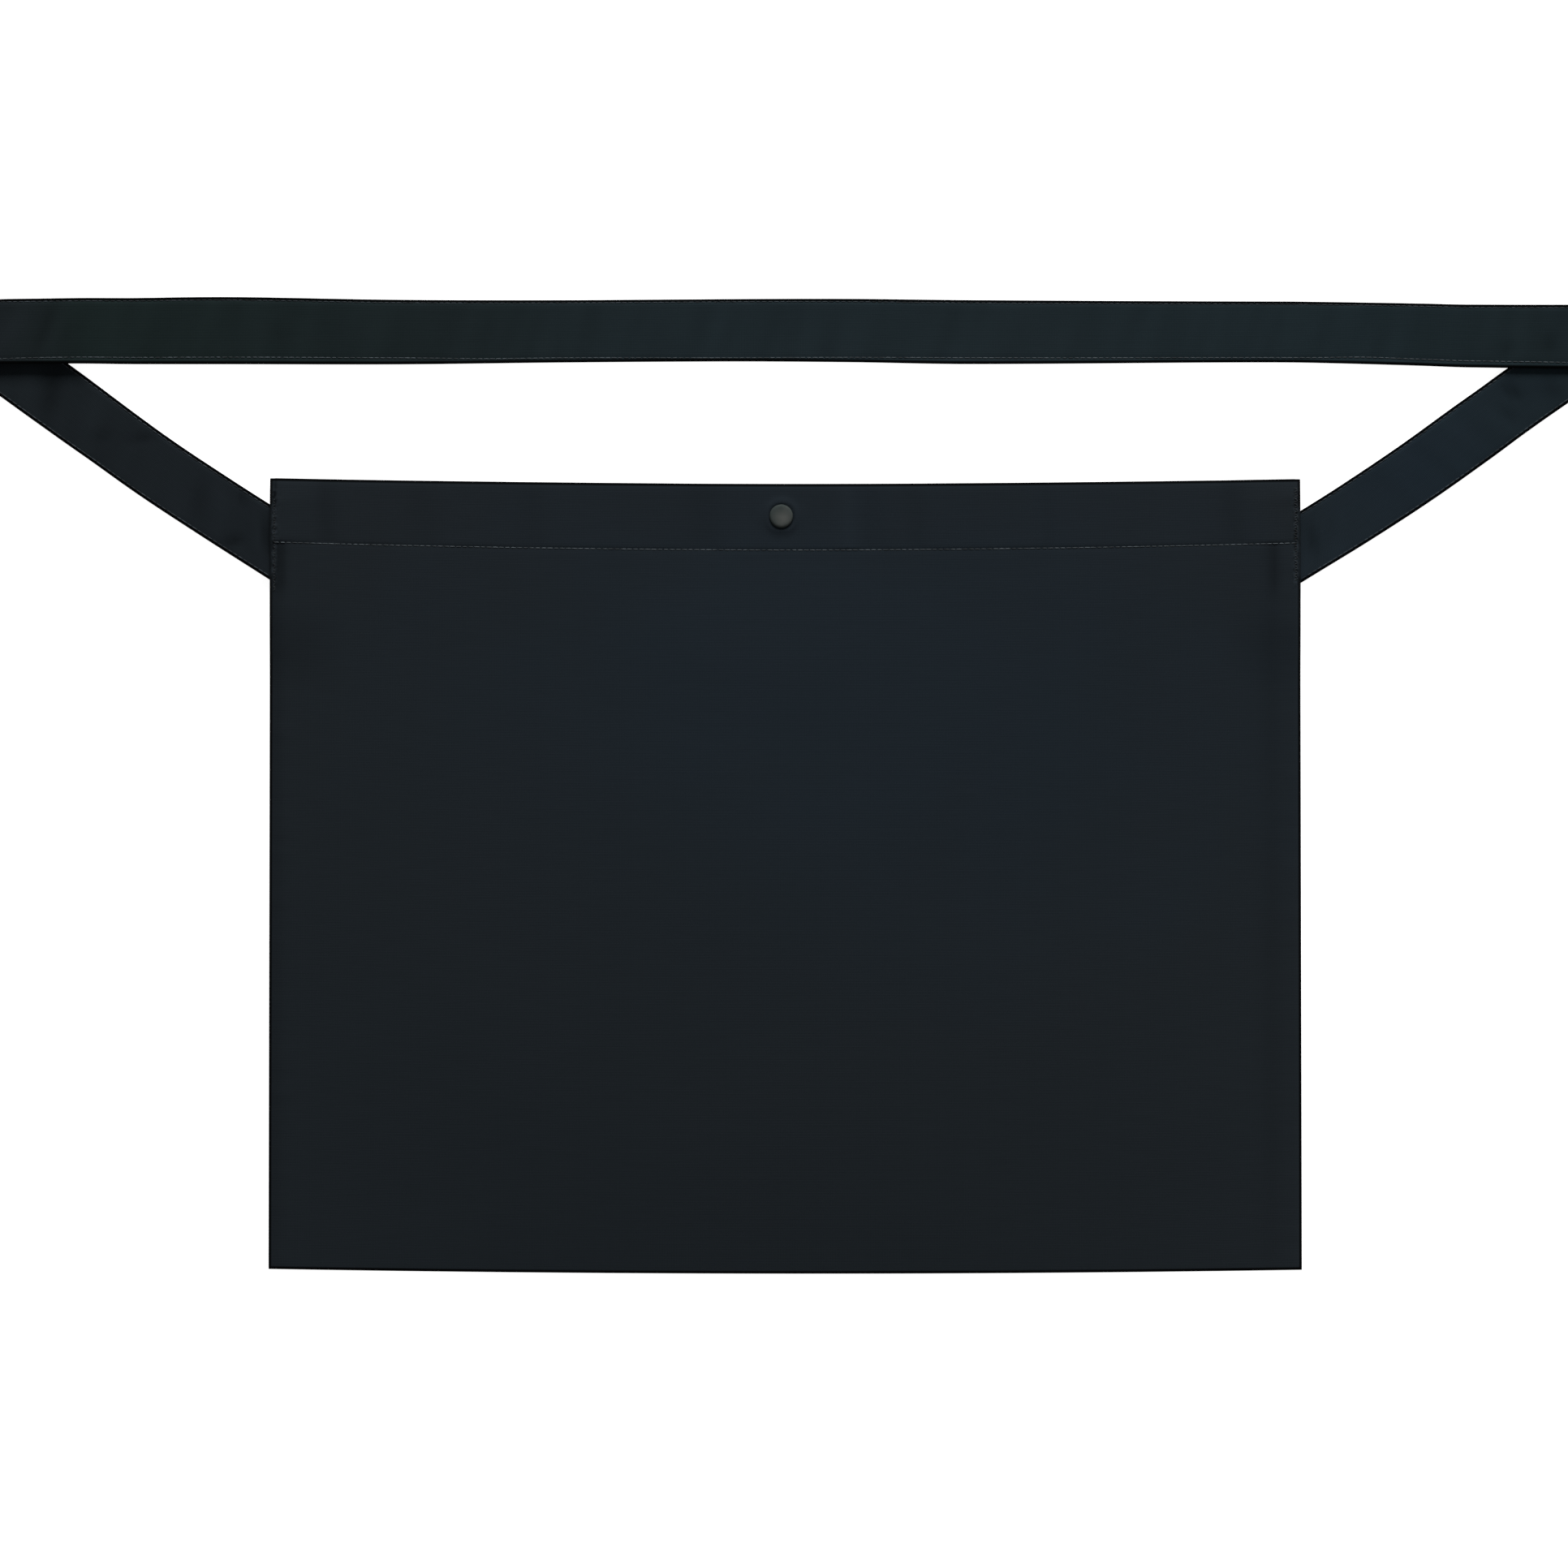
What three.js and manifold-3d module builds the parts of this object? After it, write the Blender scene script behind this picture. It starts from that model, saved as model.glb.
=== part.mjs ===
// A cotton musette: a flat shoulder bag with a folded hem, one snap and one long flat strap.
// It lies on its back as laid out flat. Millimetres: +X runs across the bag, +Y from its bottom
// seam to its mouth, +Z up off the floor.
import * as THREE from "three";
import { mergeVertices } from "three/addons/utils/BufferGeometryUtils.js";
import Module from "manifold-3d";

const wasm = await Module();
wasm.setup();

// Bag, laid flat
const bagWidth = 406; // between the top corners
const bagHeight = 311; // a side seam, from corner to corner
const sideFlare = 0.7; // how far each bottom corner stands outside the top one
const topDip = 2.0; // how far the hem's middle lies below its corners
const bottomSag = 1.6; // how far the bottom seam's middle bows out
const frontPuff = 7.5; // how high the slack front stands above its seams
const cloth = 1.2; // one layer of cotton
const hemFold = 1.0; // what the turned-in hem adds to the layer
const hemDepth = 25.6; // from the mouth down to the stitch line
const hemStep = 1.2; // how far the turned edge takes to thin out
const seamRoll = 0.3; // inner radius of the cloth where it rolls into a seam
const seamGap = 0.3; // between the two panels in the seam
const clear = 0.3; // between pieces that touch

// Strap: one flat band sewn into both side seams
const strapWidth = 25.4;
const strapThickness = 1.6;
const sewnIn = 10; // how far each end reaches inside the seam
const foldRadius = 1.2; // of the band's middle layer, where it turns back on itself
const settle = 24; // how far it takes to come down to the floor
const side = {
  // reach: side seam to fold; entry: below the top corner; rise: above it
  left: { sign: -1, reach: 118.1, entry: 24.6, rise: 58.2 },
  right: { sign: 1, reach: 119.7, entry: 26.7, rise: 56.2 },
};

// Snap in the middle of the hem
const snapOffset = -1.4; // to the left of the bag's middle
const capDiameter = 9.2;
const capRise = 1.5;
const capRim = 0.5;
const plateDiameter = 9.6; // of the socket and of the stud's two flanges
const flange = 0.7;
const socketHeight = 1.9;
const socketTop = 0.7; // the socket's roof, which holds the cap's post
const postDiameter = 2.6;
const knobDiameter = 4.0;
const knobHeight = 1.1;
const knobTaper = 0.8; // its tip's width as a share of the knob's

// The diagonal from seam to fold: shares of its reach outwards and of its climb
const diagonalCurve = [
  { out: 0.0, up: 0.0 },
  { out: 0.19, up: 0.167 },
  { out: 0.38, up: 0.348 },
  { out: 0.57, up: 0.545 },
  { out: 0.76, up: 0.748 },
  { out: 1.0, up: 1.0 },
];

// The top run from the left fold to the right one: share of its length, and its lift off the
// straight line and its width as shares of the strap's width
const topRunCurve = [
  { along: 0.0, lift: 0.0, width: 1.0 },
  { along: 0.09, lift: 0.012, width: 1.005 },
  { along: 0.16, lift: 0.028, width: 1.024 },
  { along: 0.26, lift: 0.012, width: 0.984 },
  { along: 0.36, lift: 0.031, width: 0.95 },
  { along: 0.47, lift: 0.055, width: 0.948 },
  { along: 0.61, lift: 0.04, width: 0.975 },
  { along: 0.79, lift: 0.055, width: 0.936 },
  { along: 0.92, lift: 0.01, width: 0.965 },
  { along: 1.0, lift: 0.0, width: 1.0 },
];

const halfWidth = bagWidth / 2;
const hemCloth = cloth + hemFold;
const hemLine = bagHeight - hemDepth;

function smooth(share) {
  const s = Math.min(1, Math.max(0, share));
  return s * s * (3 - 2 * s);
}

function mix(a, b, share) {
  return a + (b - a) * share;
}

// A smooth reading of one column of a table, by its key column
function reader(table, key, column) {
  const slope = (a, b) => (b[column] - a[column]) / (b[key] - a[key]);
  const slopeAt = (k) => {
    const before = table[Math.max(0, k - 1)];
    const after = table[Math.min(table.length - 1, k + 1)];
    return slope(before, after);
  };
  return (at) => {
    let k = 0;
    while (k < table.length - 2 && at > table[k + 1][key]) k += 1;
    const [a, b] = [table[k], table[k + 1]];
    const span = b[key] - a[key];
    const t = (at - a[key]) / span;
    if (t < 0) return a[column] + slope(a, b) * (at - a[key]);
    return (
      a[column] * (1 + 2 * t) * (1 - t) ** 2 +
      b[column] * t * t * (3 - 2 * t) +
      slopeAt(k) * span * t * (1 - t) ** 2 -
      slopeAt(k + 1) * span * t * t * (1 - t)
    );
  };
}

// The flat rectangle of the bag, bent to its outline as it lies
function outline(x, y) {
  const across = x / halfWidth;
  const up = y / bagHeight;
  const bow = 1 - across * across;
  const bottom = -bottomSag * bow;
  const top = bagHeight - topDip * bow;
  return [x + across * sideFlare * (1 - up), mix(bottom, top, up)];
}

// Where the strap lies in the side seams, measured down from the top corners
const entrySlope = (end) => {
  const climb = end.entry + end.rise;
  return (diagonalCurve[1].up * climb) / (diagonalCurve[1].out * end.reach);
};
const ends = Object.values(side);
const stripHalf = (end) => (strapWidth / 2) * Math.hypot(1, entrySlope(end));
const slotMargin = 1;
const slotTop = Math.min(...ends.map((end) => end.entry - stripHalf(end))) - slotMargin;
const slotLow =
  Math.max(...ends.map((end) => end.entry + stripHalf(end) + sewnIn * entrySlope(end))) +
  slotMargin;
const closeShare = 0.7; // of the seam above the strap, in which it closes again
const slotTopEase = slotTop * closeShare;
const slotLowEase = 34; // and below it
const edgeHold = sewnIn + 2; // the thick seam's width
const edgeFade = 56; // how far it takes to fade into the panel
const crownPower = 4; // how flat the slack front is between its steeper edges

function clothAt(y) {
  return cloth + hemFold * smooth((y - hemLine) / hemStep + 0.5);
}

// The outer radius of the cloth as it rolls into a side seam: larger where the hem is
function seamRadius(y) {
  const thick = smooth((y - (bagHeight - slotLow - slotLowEase)) / slotLowEase);
  return cloth + seamRoll + hemFold * thick;
}

function edgeShare(x) {
  return 1 - smooth((halfWidth - Math.abs(x) - edgeHold) / edgeFade);
}

// How far the strap's end spreads the side seam at a height up the bag
function slotAt(y) {
  const down = bagHeight - y;
  const above = smooth((down - slotTop + slotTopEase) / slotTopEase);
  const below = smooth((slotLow + slotLowEase - down) / slotLowEase);
  return (strapThickness + 2 * clear - seamGap) * above * below;
}

// Heights of the snap's pieces and of the hems that they hold
const snapX = snapOffset;
const snapY = bagHeight - hemDepth / 2;
const backHemFloor = flange + clear;
const studPlate = backHemFloor + hemCloth + clear;
const socketFloor = studPlate + flange + clear;
const frontHemFloor = socketFloor + socketHeight + clear;
const capFloor = frontHemFloor + hemCloth + clear;

// How strongly a panel is held at the snap: 1 over its plates, 0 away from it
function snapHold(x, y, flat, reachX, reachY) {
  const dx = Math.max(0, Math.abs(x - snapX) - flat) / reachX;
  const dy = Math.max(0, Math.abs(y - snapY) - flat) / reachY;
  return 1 - smooth(Math.hypot(dx, dy));
}
const plateMargin = 1; // how far the held patch is flat past the plates
const snapFlat = plateDiameter / 2 + plateMargin;
const frontPull = { x: 76, y: 60 }; // how far the snap draws each panel down or up
const backPull = { x: 14, y: 14 };

// A panel's columns: four that roll over each side edge, and the places between
const rollTurns = [0, 30, 60, 90].map((degrees) => (degrees * Math.PI) / 180);
const flatTurn = Math.PI / 2;
function rollColumns(sign) {
  return rollTurns.map((turn) => ({ turn, sign }));
}
function panelColumns(places) {
  const inner = places.map((x) => ({ turn: flatTurn, at: x }));
  return [...rollColumns(-1), ...inner, ...rollColumns(1).reverse()];
}
function panelRows(places) {
  const inner = places.map((y) => ({ turn: flatTurn, at: y }));
  return [...rollTurns.map((turn) => ({ turn })), ...inner];
}

// One point of a panel: wall is 0 on its outer face and the cloth's thickness on its inner one
function planOf(column, row, inner) {
  const y0 = row.at ?? cloth + seamRoll;
  const wall = inner ? clothAt(y0) : 0;
  const sideRoll = seamRadius(y0) - wall;
  const x =
    column.at ?? column.sign * (halfWidth - wall - sideRoll * (1 - Math.cos(column.turn)));
  const bottomRoll = cloth + seamRoll - wall;
  const y = row.at ?? wall + bottomRoll * (1 - Math.cos(row.turn));
  return { x, y, wall, lift: Math.sin(column.turn) * Math.sin(row.turn) };
}

function frontPoint(column, row, inner) {
  const { x, y, wall, lift } = planOf(column, row, inner);
  const plain = cloth + seamRoll;
  const edge = edgeShare(x);
  const roll = mix(plain, seamRadius(y), edge);
  const seam = roll + seamGap + slotAt(y) * edge;
  const raised = seam + roll - 2 * plain - seamGap;
  const crownAcross = 1 - Math.abs(x / halfWidth) ** crownPower;
  const crownUp = 1 - (1 - y / bagHeight) ** crownPower;
  const crown = (frontPuff * crownAcross * crownUp) / (1 + raised / frontPuff);
  const slack = seam + (roll - wall) * lift + crown;
  const held = frontHemFloor + hemCloth - wall;
  const z = mix(slack, held, snapHold(x, y, snapFlat, frontPull.x, frontPull.y));
  return new THREE.Vector3(...outline(x, y), z);
}

function backPoint(column, row, inner) {
  const { x, y, wall, lift } = planOf(column, row, inner);
  const roll = seamRadius(row.at ?? 0);
  const rest = roll - (roll - wall) * lift;
  const raised = backHemFloor * snapHold(x, y, snapFlat, backPull.x, backPull.y);
  return new THREE.Vector3(...outline(x, y), rest + raised);
}

// A closed body from rings of points of equal count, its two ends closed by given triangles
function ringBody(rings, endTriangles) {
  const count = rings[0].length;
  const points = rings.flat().flatMap((p) => [p.x, p.y, p.z]);
  const index = [];
  for (let i = 0; i + 1 < rings.length; i += 1) {
    for (let k = 0; k < count; k += 1) {
      const a = i * count + k;
      const b = i * count + ((k + 1) % count);
      index.push(a, b, b + count, a, b + count, a + count);
    }
  }
  const last = (rings.length - 1) * count;
  for (const [a, b, c] of endTriangles) {
    index.push(a, c, b, last + a, last + b, last + c);
  }
  const geometry = new THREE.BufferGeometry();
  geometry.setAttribute("position", new THREE.Float32BufferAttribute(points, 3));
  geometry.setIndex(volumeOf(points, index) < 0 ? index.reverse() : index);
  return geometry;
}

function volumeOf(points, index) {
  const at = (k) => new THREE.Vector3(...points.slice(3 * k, 3 * k + 3));
  let sum = 0;
  for (let k = 0; k < index.length; k += 3) {
    sum += at(index[k]).dot(at(index[k + 1]).cross(at(index[k + 2])));
  }
  return sum / 6;
}

// A panel: each column is a ring up its outer face, over the hem's round edge and down inside
const hemEdgeTurns = [45, 90, 135].map((degrees) => (degrees * Math.PI) / 180);
function panelBody(pointOf, columns, rows) {
  const rings = columns.map((column) => {
    const outer = rows.map((row) => pointOf(column, row, false));
    const inner = rows.map((row) => pointOf(column, row, true));
    const [a, b] = [outer.at(-1), inner.at(-1)];
    const middle = a.clone().add(b).multiplyScalar(0.5);
    const arm = a.clone().sub(middle);
    const edge = hemEdgeTurns.map((turn) => {
      const point = middle.clone().addScaledVector(arm, Math.cos(turn));
      point.y += arm.length() * Math.sin(turn);
      return point;
    });
    return [...outer, ...edge, ...inner.reverse()];
  });
  const count = rings[0].length;
  const triangles = [];
  for (let k = 0; 2 * k + 1 < count; k += 1) {
    const [a, b] = [k, k + 1];
    const [c, d] = [count - 1 - k, count - 2 - k];
    if (b < d) triangles.push([a, b, d]);
    if (a < d) triangles.push([a, d, c]);
  }
  return ringBody(rings, triangles);
}

// A body of revolution about the snap's axis, from its profile of radius and height
const lathePoints = 24;
const [snapPlanX, snapPlanY] = outline(snapX, snapY);
function turned(profile) {
  const points = profile.map(([radius, height]) => new THREE.Vector2(radius, height));
  const geometry = new THREE.LatheGeometry(points, lathePoints);
  geometry.rotateX(Math.PI / 2);
  return geometry.translate(snapPlanX, snapPlanY, 0);
}

const mergeWithin = 1e-4;
function toManifold(geometry) {
  const bare = geometry.clone();
  bare.deleteAttribute("normal");
  bare.deleteAttribute("uv");
  const merged = mergeVertices(bare, mergeWithin);
  const mesh = new wasm.Mesh({
    numProp: 3,
    vertProperties: Float32Array.from(merged.attributes.position.array),
    triVerts: Uint32Array.from(merged.index.array),
  });
  return new wasm.Manifold(mesh);
}

// A panel with the round hole that a post of the snap passes through
const drillReach = 4; // as a share of the whole height
function withPostHole(panel) {
  const radius = postDiameter / 2 + clear;
  const length = drillReach * (capFloor + capRise);
  const drill = new THREE.CylinderGeometry(radius, radius, length, lathePoints);
  drill.rotateX(Math.PI / 2);
  drill.translate(snapPlanX, snapPlanY, 0);
  const cut = toManifold(panel).subtract(toManifold(drill)).getMesh();
  const geometry = new THREE.BufferGeometry();
  geometry.setAttribute("position", new THREE.Float32BufferAttribute(cut.vertProperties, 3));
  geometry.setIndex(Array.from(cut.triVerts));
  return geometry;
}

// Places across and up a panel where its form changes, measured from its edges and the snap
const edgePlaces = [0, 0.25, 0.5, 0.75, 1].map((s) => edgeHold + edgeFade * s);
const frontSnapPlaces = [0, 0.14, 0.3, 0.48, 0.7, 1].map((s) => snapFlat + frontPull.x * s);
const backSnapPlaces = [0, 0.3, 0.65, 1].map((s) => snapFlat + backPull.x * s);
const byValue = (a, b) => a - b;
function placesAcross(fromEdge, fromSnap) {
  const sides = fromEdge.flatMap((d) => [d - halfWidth, halfWidth - d]);
  const middle = fromSnap.flatMap((d) => [snapX - d, snapX + d]);
  return [...sides, ...middle].sort(byValue);
}
const strapRows = [
  slotLow + slotLowEase,
  slotLow + slotLowEase / 2,
  slotLow,
  (slotLow + hemDepth) / 2,
  hemDepth + hemStep / 2,
  hemDepth - hemStep / 2,
  hemDepth / 2 + snapFlat,
  hemDepth / 2 - snapFlat,
].map((down) => bagHeight - down);
const mouthRow = bagHeight - hemCloth / 2;
const closeRows = [0.5, 0.15].map((s) => bagHeight - hemCloth / 2 - slotTopEase * s);
function placesUp(shares) {
  const lowest = bagHeight - slotLow - slotLowEase;
  return [...shares.map((s) => lowest * s), ...strapRows, ...closeRows, mouthRow].sort(byValue);
}
const frontShares = [0.05, 0.12, 0.22, 0.35, 0.5, 0.65, 0.8, 0.92];
const backShares = [0.25, 0.5, 0.75];
const frontColumns = panelColumns(placesAcross(edgePlaces, frontSnapPlaces));
const backColumns = panelColumns(placesAcross(edgePlaces, backSnapPlaces));
const frontRows = panelRows(placesUp(frontShares));
const backRows = panelRows(placesUp(backShares));

// Stations of the strap: its middle in plan, its height, the line across it and its face
const diagonalUp = reader(diagonalCurve, "out", "up");
const runLift = reader(topRunCurve, "along", "lift");
const runWidth = reader(topRunCurve, "along", "width");
const layerHeight = strapThickness / 2;
const seamHeight = seamRadius(bagHeight) + clear + layerHeight;
const foldHeight = layerHeight + 2 * foldRadius;
const levelOut = 1.5; // how far outside the seam the strap stays level

function foldOf(end) {
  const climb = end.entry + end.rise;
  const near = diagonalCurve.at(-2);
  const slope = ((1 - near.up) * climb) / ((1 - near.out) * end.reach);
  const angle = Math.atan(slope);
  const lean = angle / 2;
  const crease = new THREE.Vector2(-Math.sin(lean), Math.cos(lean));
  const outward = new THREE.Vector2(Math.cos(lean), Math.sin(lean));
  const drift = Math.tan(lean) * Math.PI * foldRadius;
  const [seamX, seamY] = outline(halfWidth, bagHeight - end.entry);
  const top = new THREE.Vector2(halfWidth + end.reach, bagHeight + end.rise);
  const low = top.clone().addScaledVector(crease, -drift);
  const overlap = (strapWidth * (1 + 1 / Math.cos(angle))) / (2 * Math.tan(angle));
  return { crease, outward, drift, seamX, seamY, top, low, overlap };
}

// One ring across the strap: up is the line across it in plan, face the way that it faces
function strapRing(middle, up, face, halfSpan) {
  const bevel = layerHeight / 2;
  const profile = [
    [halfSpan, bevel],
    [halfSpan - bevel, layerHeight],
    [bevel - halfSpan, layerHeight],
    [-halfSpan, bevel],
    [-halfSpan, -bevel],
    [bevel - halfSpan, -layerHeight],
    [halfSpan - bevel, -layerHeight],
    [halfSpan, -bevel],
  ];
  return profile.map(([along, out]) =>
    middle.clone().addScaledVector(up, along).addScaledVector(face, out),
  );
}

const upright = new THREE.Vector2(0, 1);
function across(direction) {
  const square = new THREE.Vector2(-direction.y, direction.x).normalize();
  return square.y < 0 ? square.negate() : square;
}
function halfSpanOf(width, line, direction) {
  return width / 2 / Math.abs(line.dot(across(direction)));
}

// The diagonal from inside the seam to the fold, with +x outwards; the sign puts it on its side
const seamPlaces = [-sewnIn, -sewnIn / 2, 0, levelOut];
const settlePlaces = [0.2, 0.4, 0.6, 0.8, 1].map((s) => levelOut + settle * s);
const diagonalShares = [0.33, 0.45, 0.57, 0.69, 0.81, 0.9, 0.96, 1];
const squareFrom = 0.33; // share of the reach from which the rings lie square across
const squareTo = 0.69; // and up to which they do
const shortStep = 0.005; // share of the reach over which its direction is read
function diagonalRings(end) {
  const fold = foldOf(end);
  const reach = fold.low.x - fold.seamX;
  const climb = fold.low.y - fold.seamY;
  const pathAt = (s) =>
    new THREE.Vector2(fold.seamX + reach * s, fold.seamY + climb * diagonalUp(s));
  const places = [...seamPlaces, ...settlePlaces]
    .map((d) => d / reach)
    .filter((s) => s < diagonalShares[0]);
  return [...places, ...diagonalShares].map((s) => {
    const at = pathAt(s);
    const direction = pathAt(s + shortStep).sub(pathAt(s - shortStep));
    const square = across(direction);
    const toSquare = smooth(s / squareFrom);
    const toCrease = smooth((s - squareTo) / (1 - squareTo));
    const line = upright.clone().lerp(square, toSquare).lerp(fold.crease, toCrease).normalize();
    const down = smooth((s * reach - levelOut) / settle);
    const height = mix(seamHeight, layerHeight, down);
    const middle = new THREE.Vector3(end.sign * at.x, at.y, height);
    const up = new THREE.Vector3(end.sign * line.x, line.y, 0);
    const face = new THREE.Vector3(0, 0, 1);
    return strapRing(middle, up, face, halfSpanOf(strapWidth, line, direction));
  });
}

// The turn-over at the fold, where the band rolls up and back over itself
const foldSteps = 8;
function foldRings(end) {
  const fold = foldOf(end);
  const halfSpan = halfSpanOf(strapWidth, fold.crease, new THREE.Vector2(-1, 0));
  const rings = [];
  for (let k = 1; k < foldSteps; k += 1) {
    const turn = (Math.PI * k) / foldSteps;
    const plan = fold.low
      .clone()
      .addScaledVector(fold.crease, (fold.drift * k) / foldSteps)
      .addScaledVector(fold.outward, foldRadius * Math.sin(turn));
    const height = layerHeight + foldRadius * (1 - Math.cos(turn));
    const middle = new THREE.Vector3(end.sign * plan.x, plan.y, height);
    const up = new THREE.Vector3(end.sign * fold.crease.x, fold.crease.y, 0);
    const face = new THREE.Vector3(
      -Math.sin(turn) * fold.outward.x * end.sign,
      -Math.sin(turn) * fold.outward.y,
      Math.cos(turn),
    );
    rings.push(strapRing(middle, up, face, halfSpan));
  }
  return rings;
}

// The top run from fold to fold: it lies on the diagonals near its ends and on the floor between
const overlapMargin = 3;
const overlapShares = [0, 0.15, 0.35, 0.6, 0.85, 1];
const runMiddleSteps = 14;
function topRunRings() {
  const [left, right] = ends.map(foldOf);
  const start = new THREE.Vector2(-left.top.x, left.top.y);
  const finish = right.top.clone();
  const length = finish.x - start.x;
  const zones = [left, right].map((fold) => fold.overlap + overlapMargin);
  const places = (zone) => [
    ...overlapShares.map((s) => zone * s),
    ...[0.25, 0.5, 0.75, 1].map((s) => zone + settle * s),
  ];
  const fromLeft = places(zones[0]);
  const fromRight = places(zones[1]).map((d) => length - d);
  const [a, b] = [Math.max(...fromLeft), Math.min(...fromRight)];
  const between = Array.from({ length: runMiddleSteps - 1 }, (_, k) =>
    mix(a, b, (k + 1) / runMiddleSteps),
  );
  return [...fromLeft, ...between, ...fromRight].sort(byValue).map((d) => {
    const s = d / length;
    const gaps = [d, length - d];
    const creases = [
      new THREE.Vector2(-left.crease.x, left.crease.y),
      right.crease.clone(),
    ];
    const line = upright.clone();
    gaps.forEach((gap, k) => line.lerp(creases[k], 1 - smooth(gap / zones[k])));
    line.normalize();
    const raised = Math.max(...gaps.map((gap, k) => 1 - smooth((gap - zones[k]) / settle)));
    const y = mix(start.y, finish.y, s) + runLift(s) * strapWidth;
    const middle = new THREE.Vector3(start.x + d, y, mix(layerHeight, foldHeight, raised));
    const up = new THREE.Vector3(line.x, line.y, 0);
    const face = new THREE.Vector3(0, 0, -1);
    const direction = new THREE.Vector2(1, 0);
    return strapRing(middle, up, face, halfSpanOf(runWidth(s) * strapWidth, line, direction));
  });
}

function strapBody() {
  const rings = [
    ...diagonalRings(side.left),
    ...foldRings(side.left),
    ...topRunRings(),
    ...foldRings(side.right).reverse(),
    ...diagonalRings(side.right).reverse(),
  ];
  const fan = Array.from({ length: rings[0].length - 2 }, (_, k) => [0, k + 1, k + 2]);
  return ringBody(rings, fan);
}

// The domed cap outside the front hem, with the post that goes through to the socket
function capBody() {
  const radius = capDiameter / 2;
  const domeSteps = 6;
  const dome = Array.from({ length: domeSteps }, (_, k) => {
    const turn = (Math.PI / 2) * (k / domeSteps);
    const height = capRim + (capRise - capRim) * Math.sin(turn);
    return [radius * Math.cos(turn), capFloor + height];
  });
  const postEnd = socketFloor + socketHeight - socketTop / 2;
  return turned([
    [0, postEnd],
    [postDiameter / 2, postEnd],
    [postDiameter / 2, capFloor],
    [radius - capRim / 2, capFloor],
    ...dome,
    [0, capFloor + capRise],
  ]);
}

// The socket inside the front hem: a ring with a wide mouth for the knob and a roof for the post
function socketBody() {
  const roof = socketFloor + socketHeight - socketTop;
  const mouth = knobDiameter / 2 + clear;
  const bore = postDiameter / 2 + clear;
  return turned([
    [mouth, socketFloor],
    [plateDiameter / 2, socketFloor],
    [plateDiameter / 2, socketFloor + socketHeight],
    [bore, socketFloor + socketHeight],
    [bore, roof],
    [mouth, roof],
    [mouth, socketFloor],
  ]);
}

// The stud on the back hem: a flange on each face of the cloth, a post between, a knob on top
function studBody() {
  const plate = plateDiameter / 2;
  const post = postDiameter / 2;
  const knob = knobDiameter / 2;
  const neck = studPlate + flange;
  return turned([
    [0, 0],
    [plate, 0],
    [plate, flange],
    [post, flange],
    [post, studPlate],
    [plate, studPlate],
    [plate, neck],
    [knob, neck],
    [knob, neck + knobHeight / 2],
    [knob * knobTaper, neck + knobHeight],
    [0, neck + knobHeight],
  ]);
}

const colours = { panel: 0x1d2327, strap: 0x1d2529, cap: 0x404342, steel: 0x8a8d8e };
function cottonOf(colour) {
  return new THREE.MeshStandardMaterial({ color: colour, roughness: 0.92, metalness: 0 });
}
function metalOf(colour, metalness) {
  return new THREE.MeshStandardMaterial({ color: colour, roughness: 0.45, metalness });
}

const musette = new THREE.Group();
function add(name, geometry, material) {
  const mesh = new THREE.Mesh(geometry, material);
  mesh.name = name;
  musette.add(mesh);
}
add(
  "front_panel",
  withPostHole(panelBody(frontPoint, frontColumns, frontRows)),
  cottonOf(colours.panel),
);
add(
  "back_panel",
  withPostHole(panelBody(backPoint, backColumns, backRows)),
  cottonOf(colours.panel),
);
add("strap", strapBody(), cottonOf(colours.strap));
add("snap_cap", capBody(), metalOf(colours.cap, 0.4));
add("snap_socket", socketBody(), metalOf(colours.steel, 0.9));
add("snap_stud", studBody(), metalOf(colours.steel, 0.9));

// The origin is on the floor, under the middle of everything that lies there
const extent = new THREE.Box3().setFromObject(musette);
const middle = extent.getCenter(new THREE.Vector3());
musette.position.set(-middle.x, -middle.y, -extent.min.z);

export default musette;
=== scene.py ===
import math
import bpy
import numpy as np
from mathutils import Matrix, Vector, noise


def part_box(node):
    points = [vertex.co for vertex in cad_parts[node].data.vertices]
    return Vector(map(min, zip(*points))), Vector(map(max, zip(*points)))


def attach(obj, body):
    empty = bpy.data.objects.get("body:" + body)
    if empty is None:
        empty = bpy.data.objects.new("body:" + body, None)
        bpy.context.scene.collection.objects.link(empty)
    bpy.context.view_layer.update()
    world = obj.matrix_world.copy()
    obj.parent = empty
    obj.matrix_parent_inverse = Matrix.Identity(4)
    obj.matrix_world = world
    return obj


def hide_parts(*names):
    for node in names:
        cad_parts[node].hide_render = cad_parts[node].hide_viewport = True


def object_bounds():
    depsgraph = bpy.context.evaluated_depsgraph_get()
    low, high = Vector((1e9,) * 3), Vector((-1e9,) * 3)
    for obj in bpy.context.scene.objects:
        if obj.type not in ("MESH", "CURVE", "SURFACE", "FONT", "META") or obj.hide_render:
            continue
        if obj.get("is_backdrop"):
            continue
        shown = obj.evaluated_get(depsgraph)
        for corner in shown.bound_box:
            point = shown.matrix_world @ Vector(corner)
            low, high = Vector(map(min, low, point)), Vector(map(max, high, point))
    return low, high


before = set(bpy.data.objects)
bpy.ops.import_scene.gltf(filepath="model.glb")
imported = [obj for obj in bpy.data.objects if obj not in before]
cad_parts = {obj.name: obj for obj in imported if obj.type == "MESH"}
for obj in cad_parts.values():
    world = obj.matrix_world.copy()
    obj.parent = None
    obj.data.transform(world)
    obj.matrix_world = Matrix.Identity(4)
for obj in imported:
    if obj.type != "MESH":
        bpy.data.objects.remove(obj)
cad_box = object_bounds()

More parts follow.
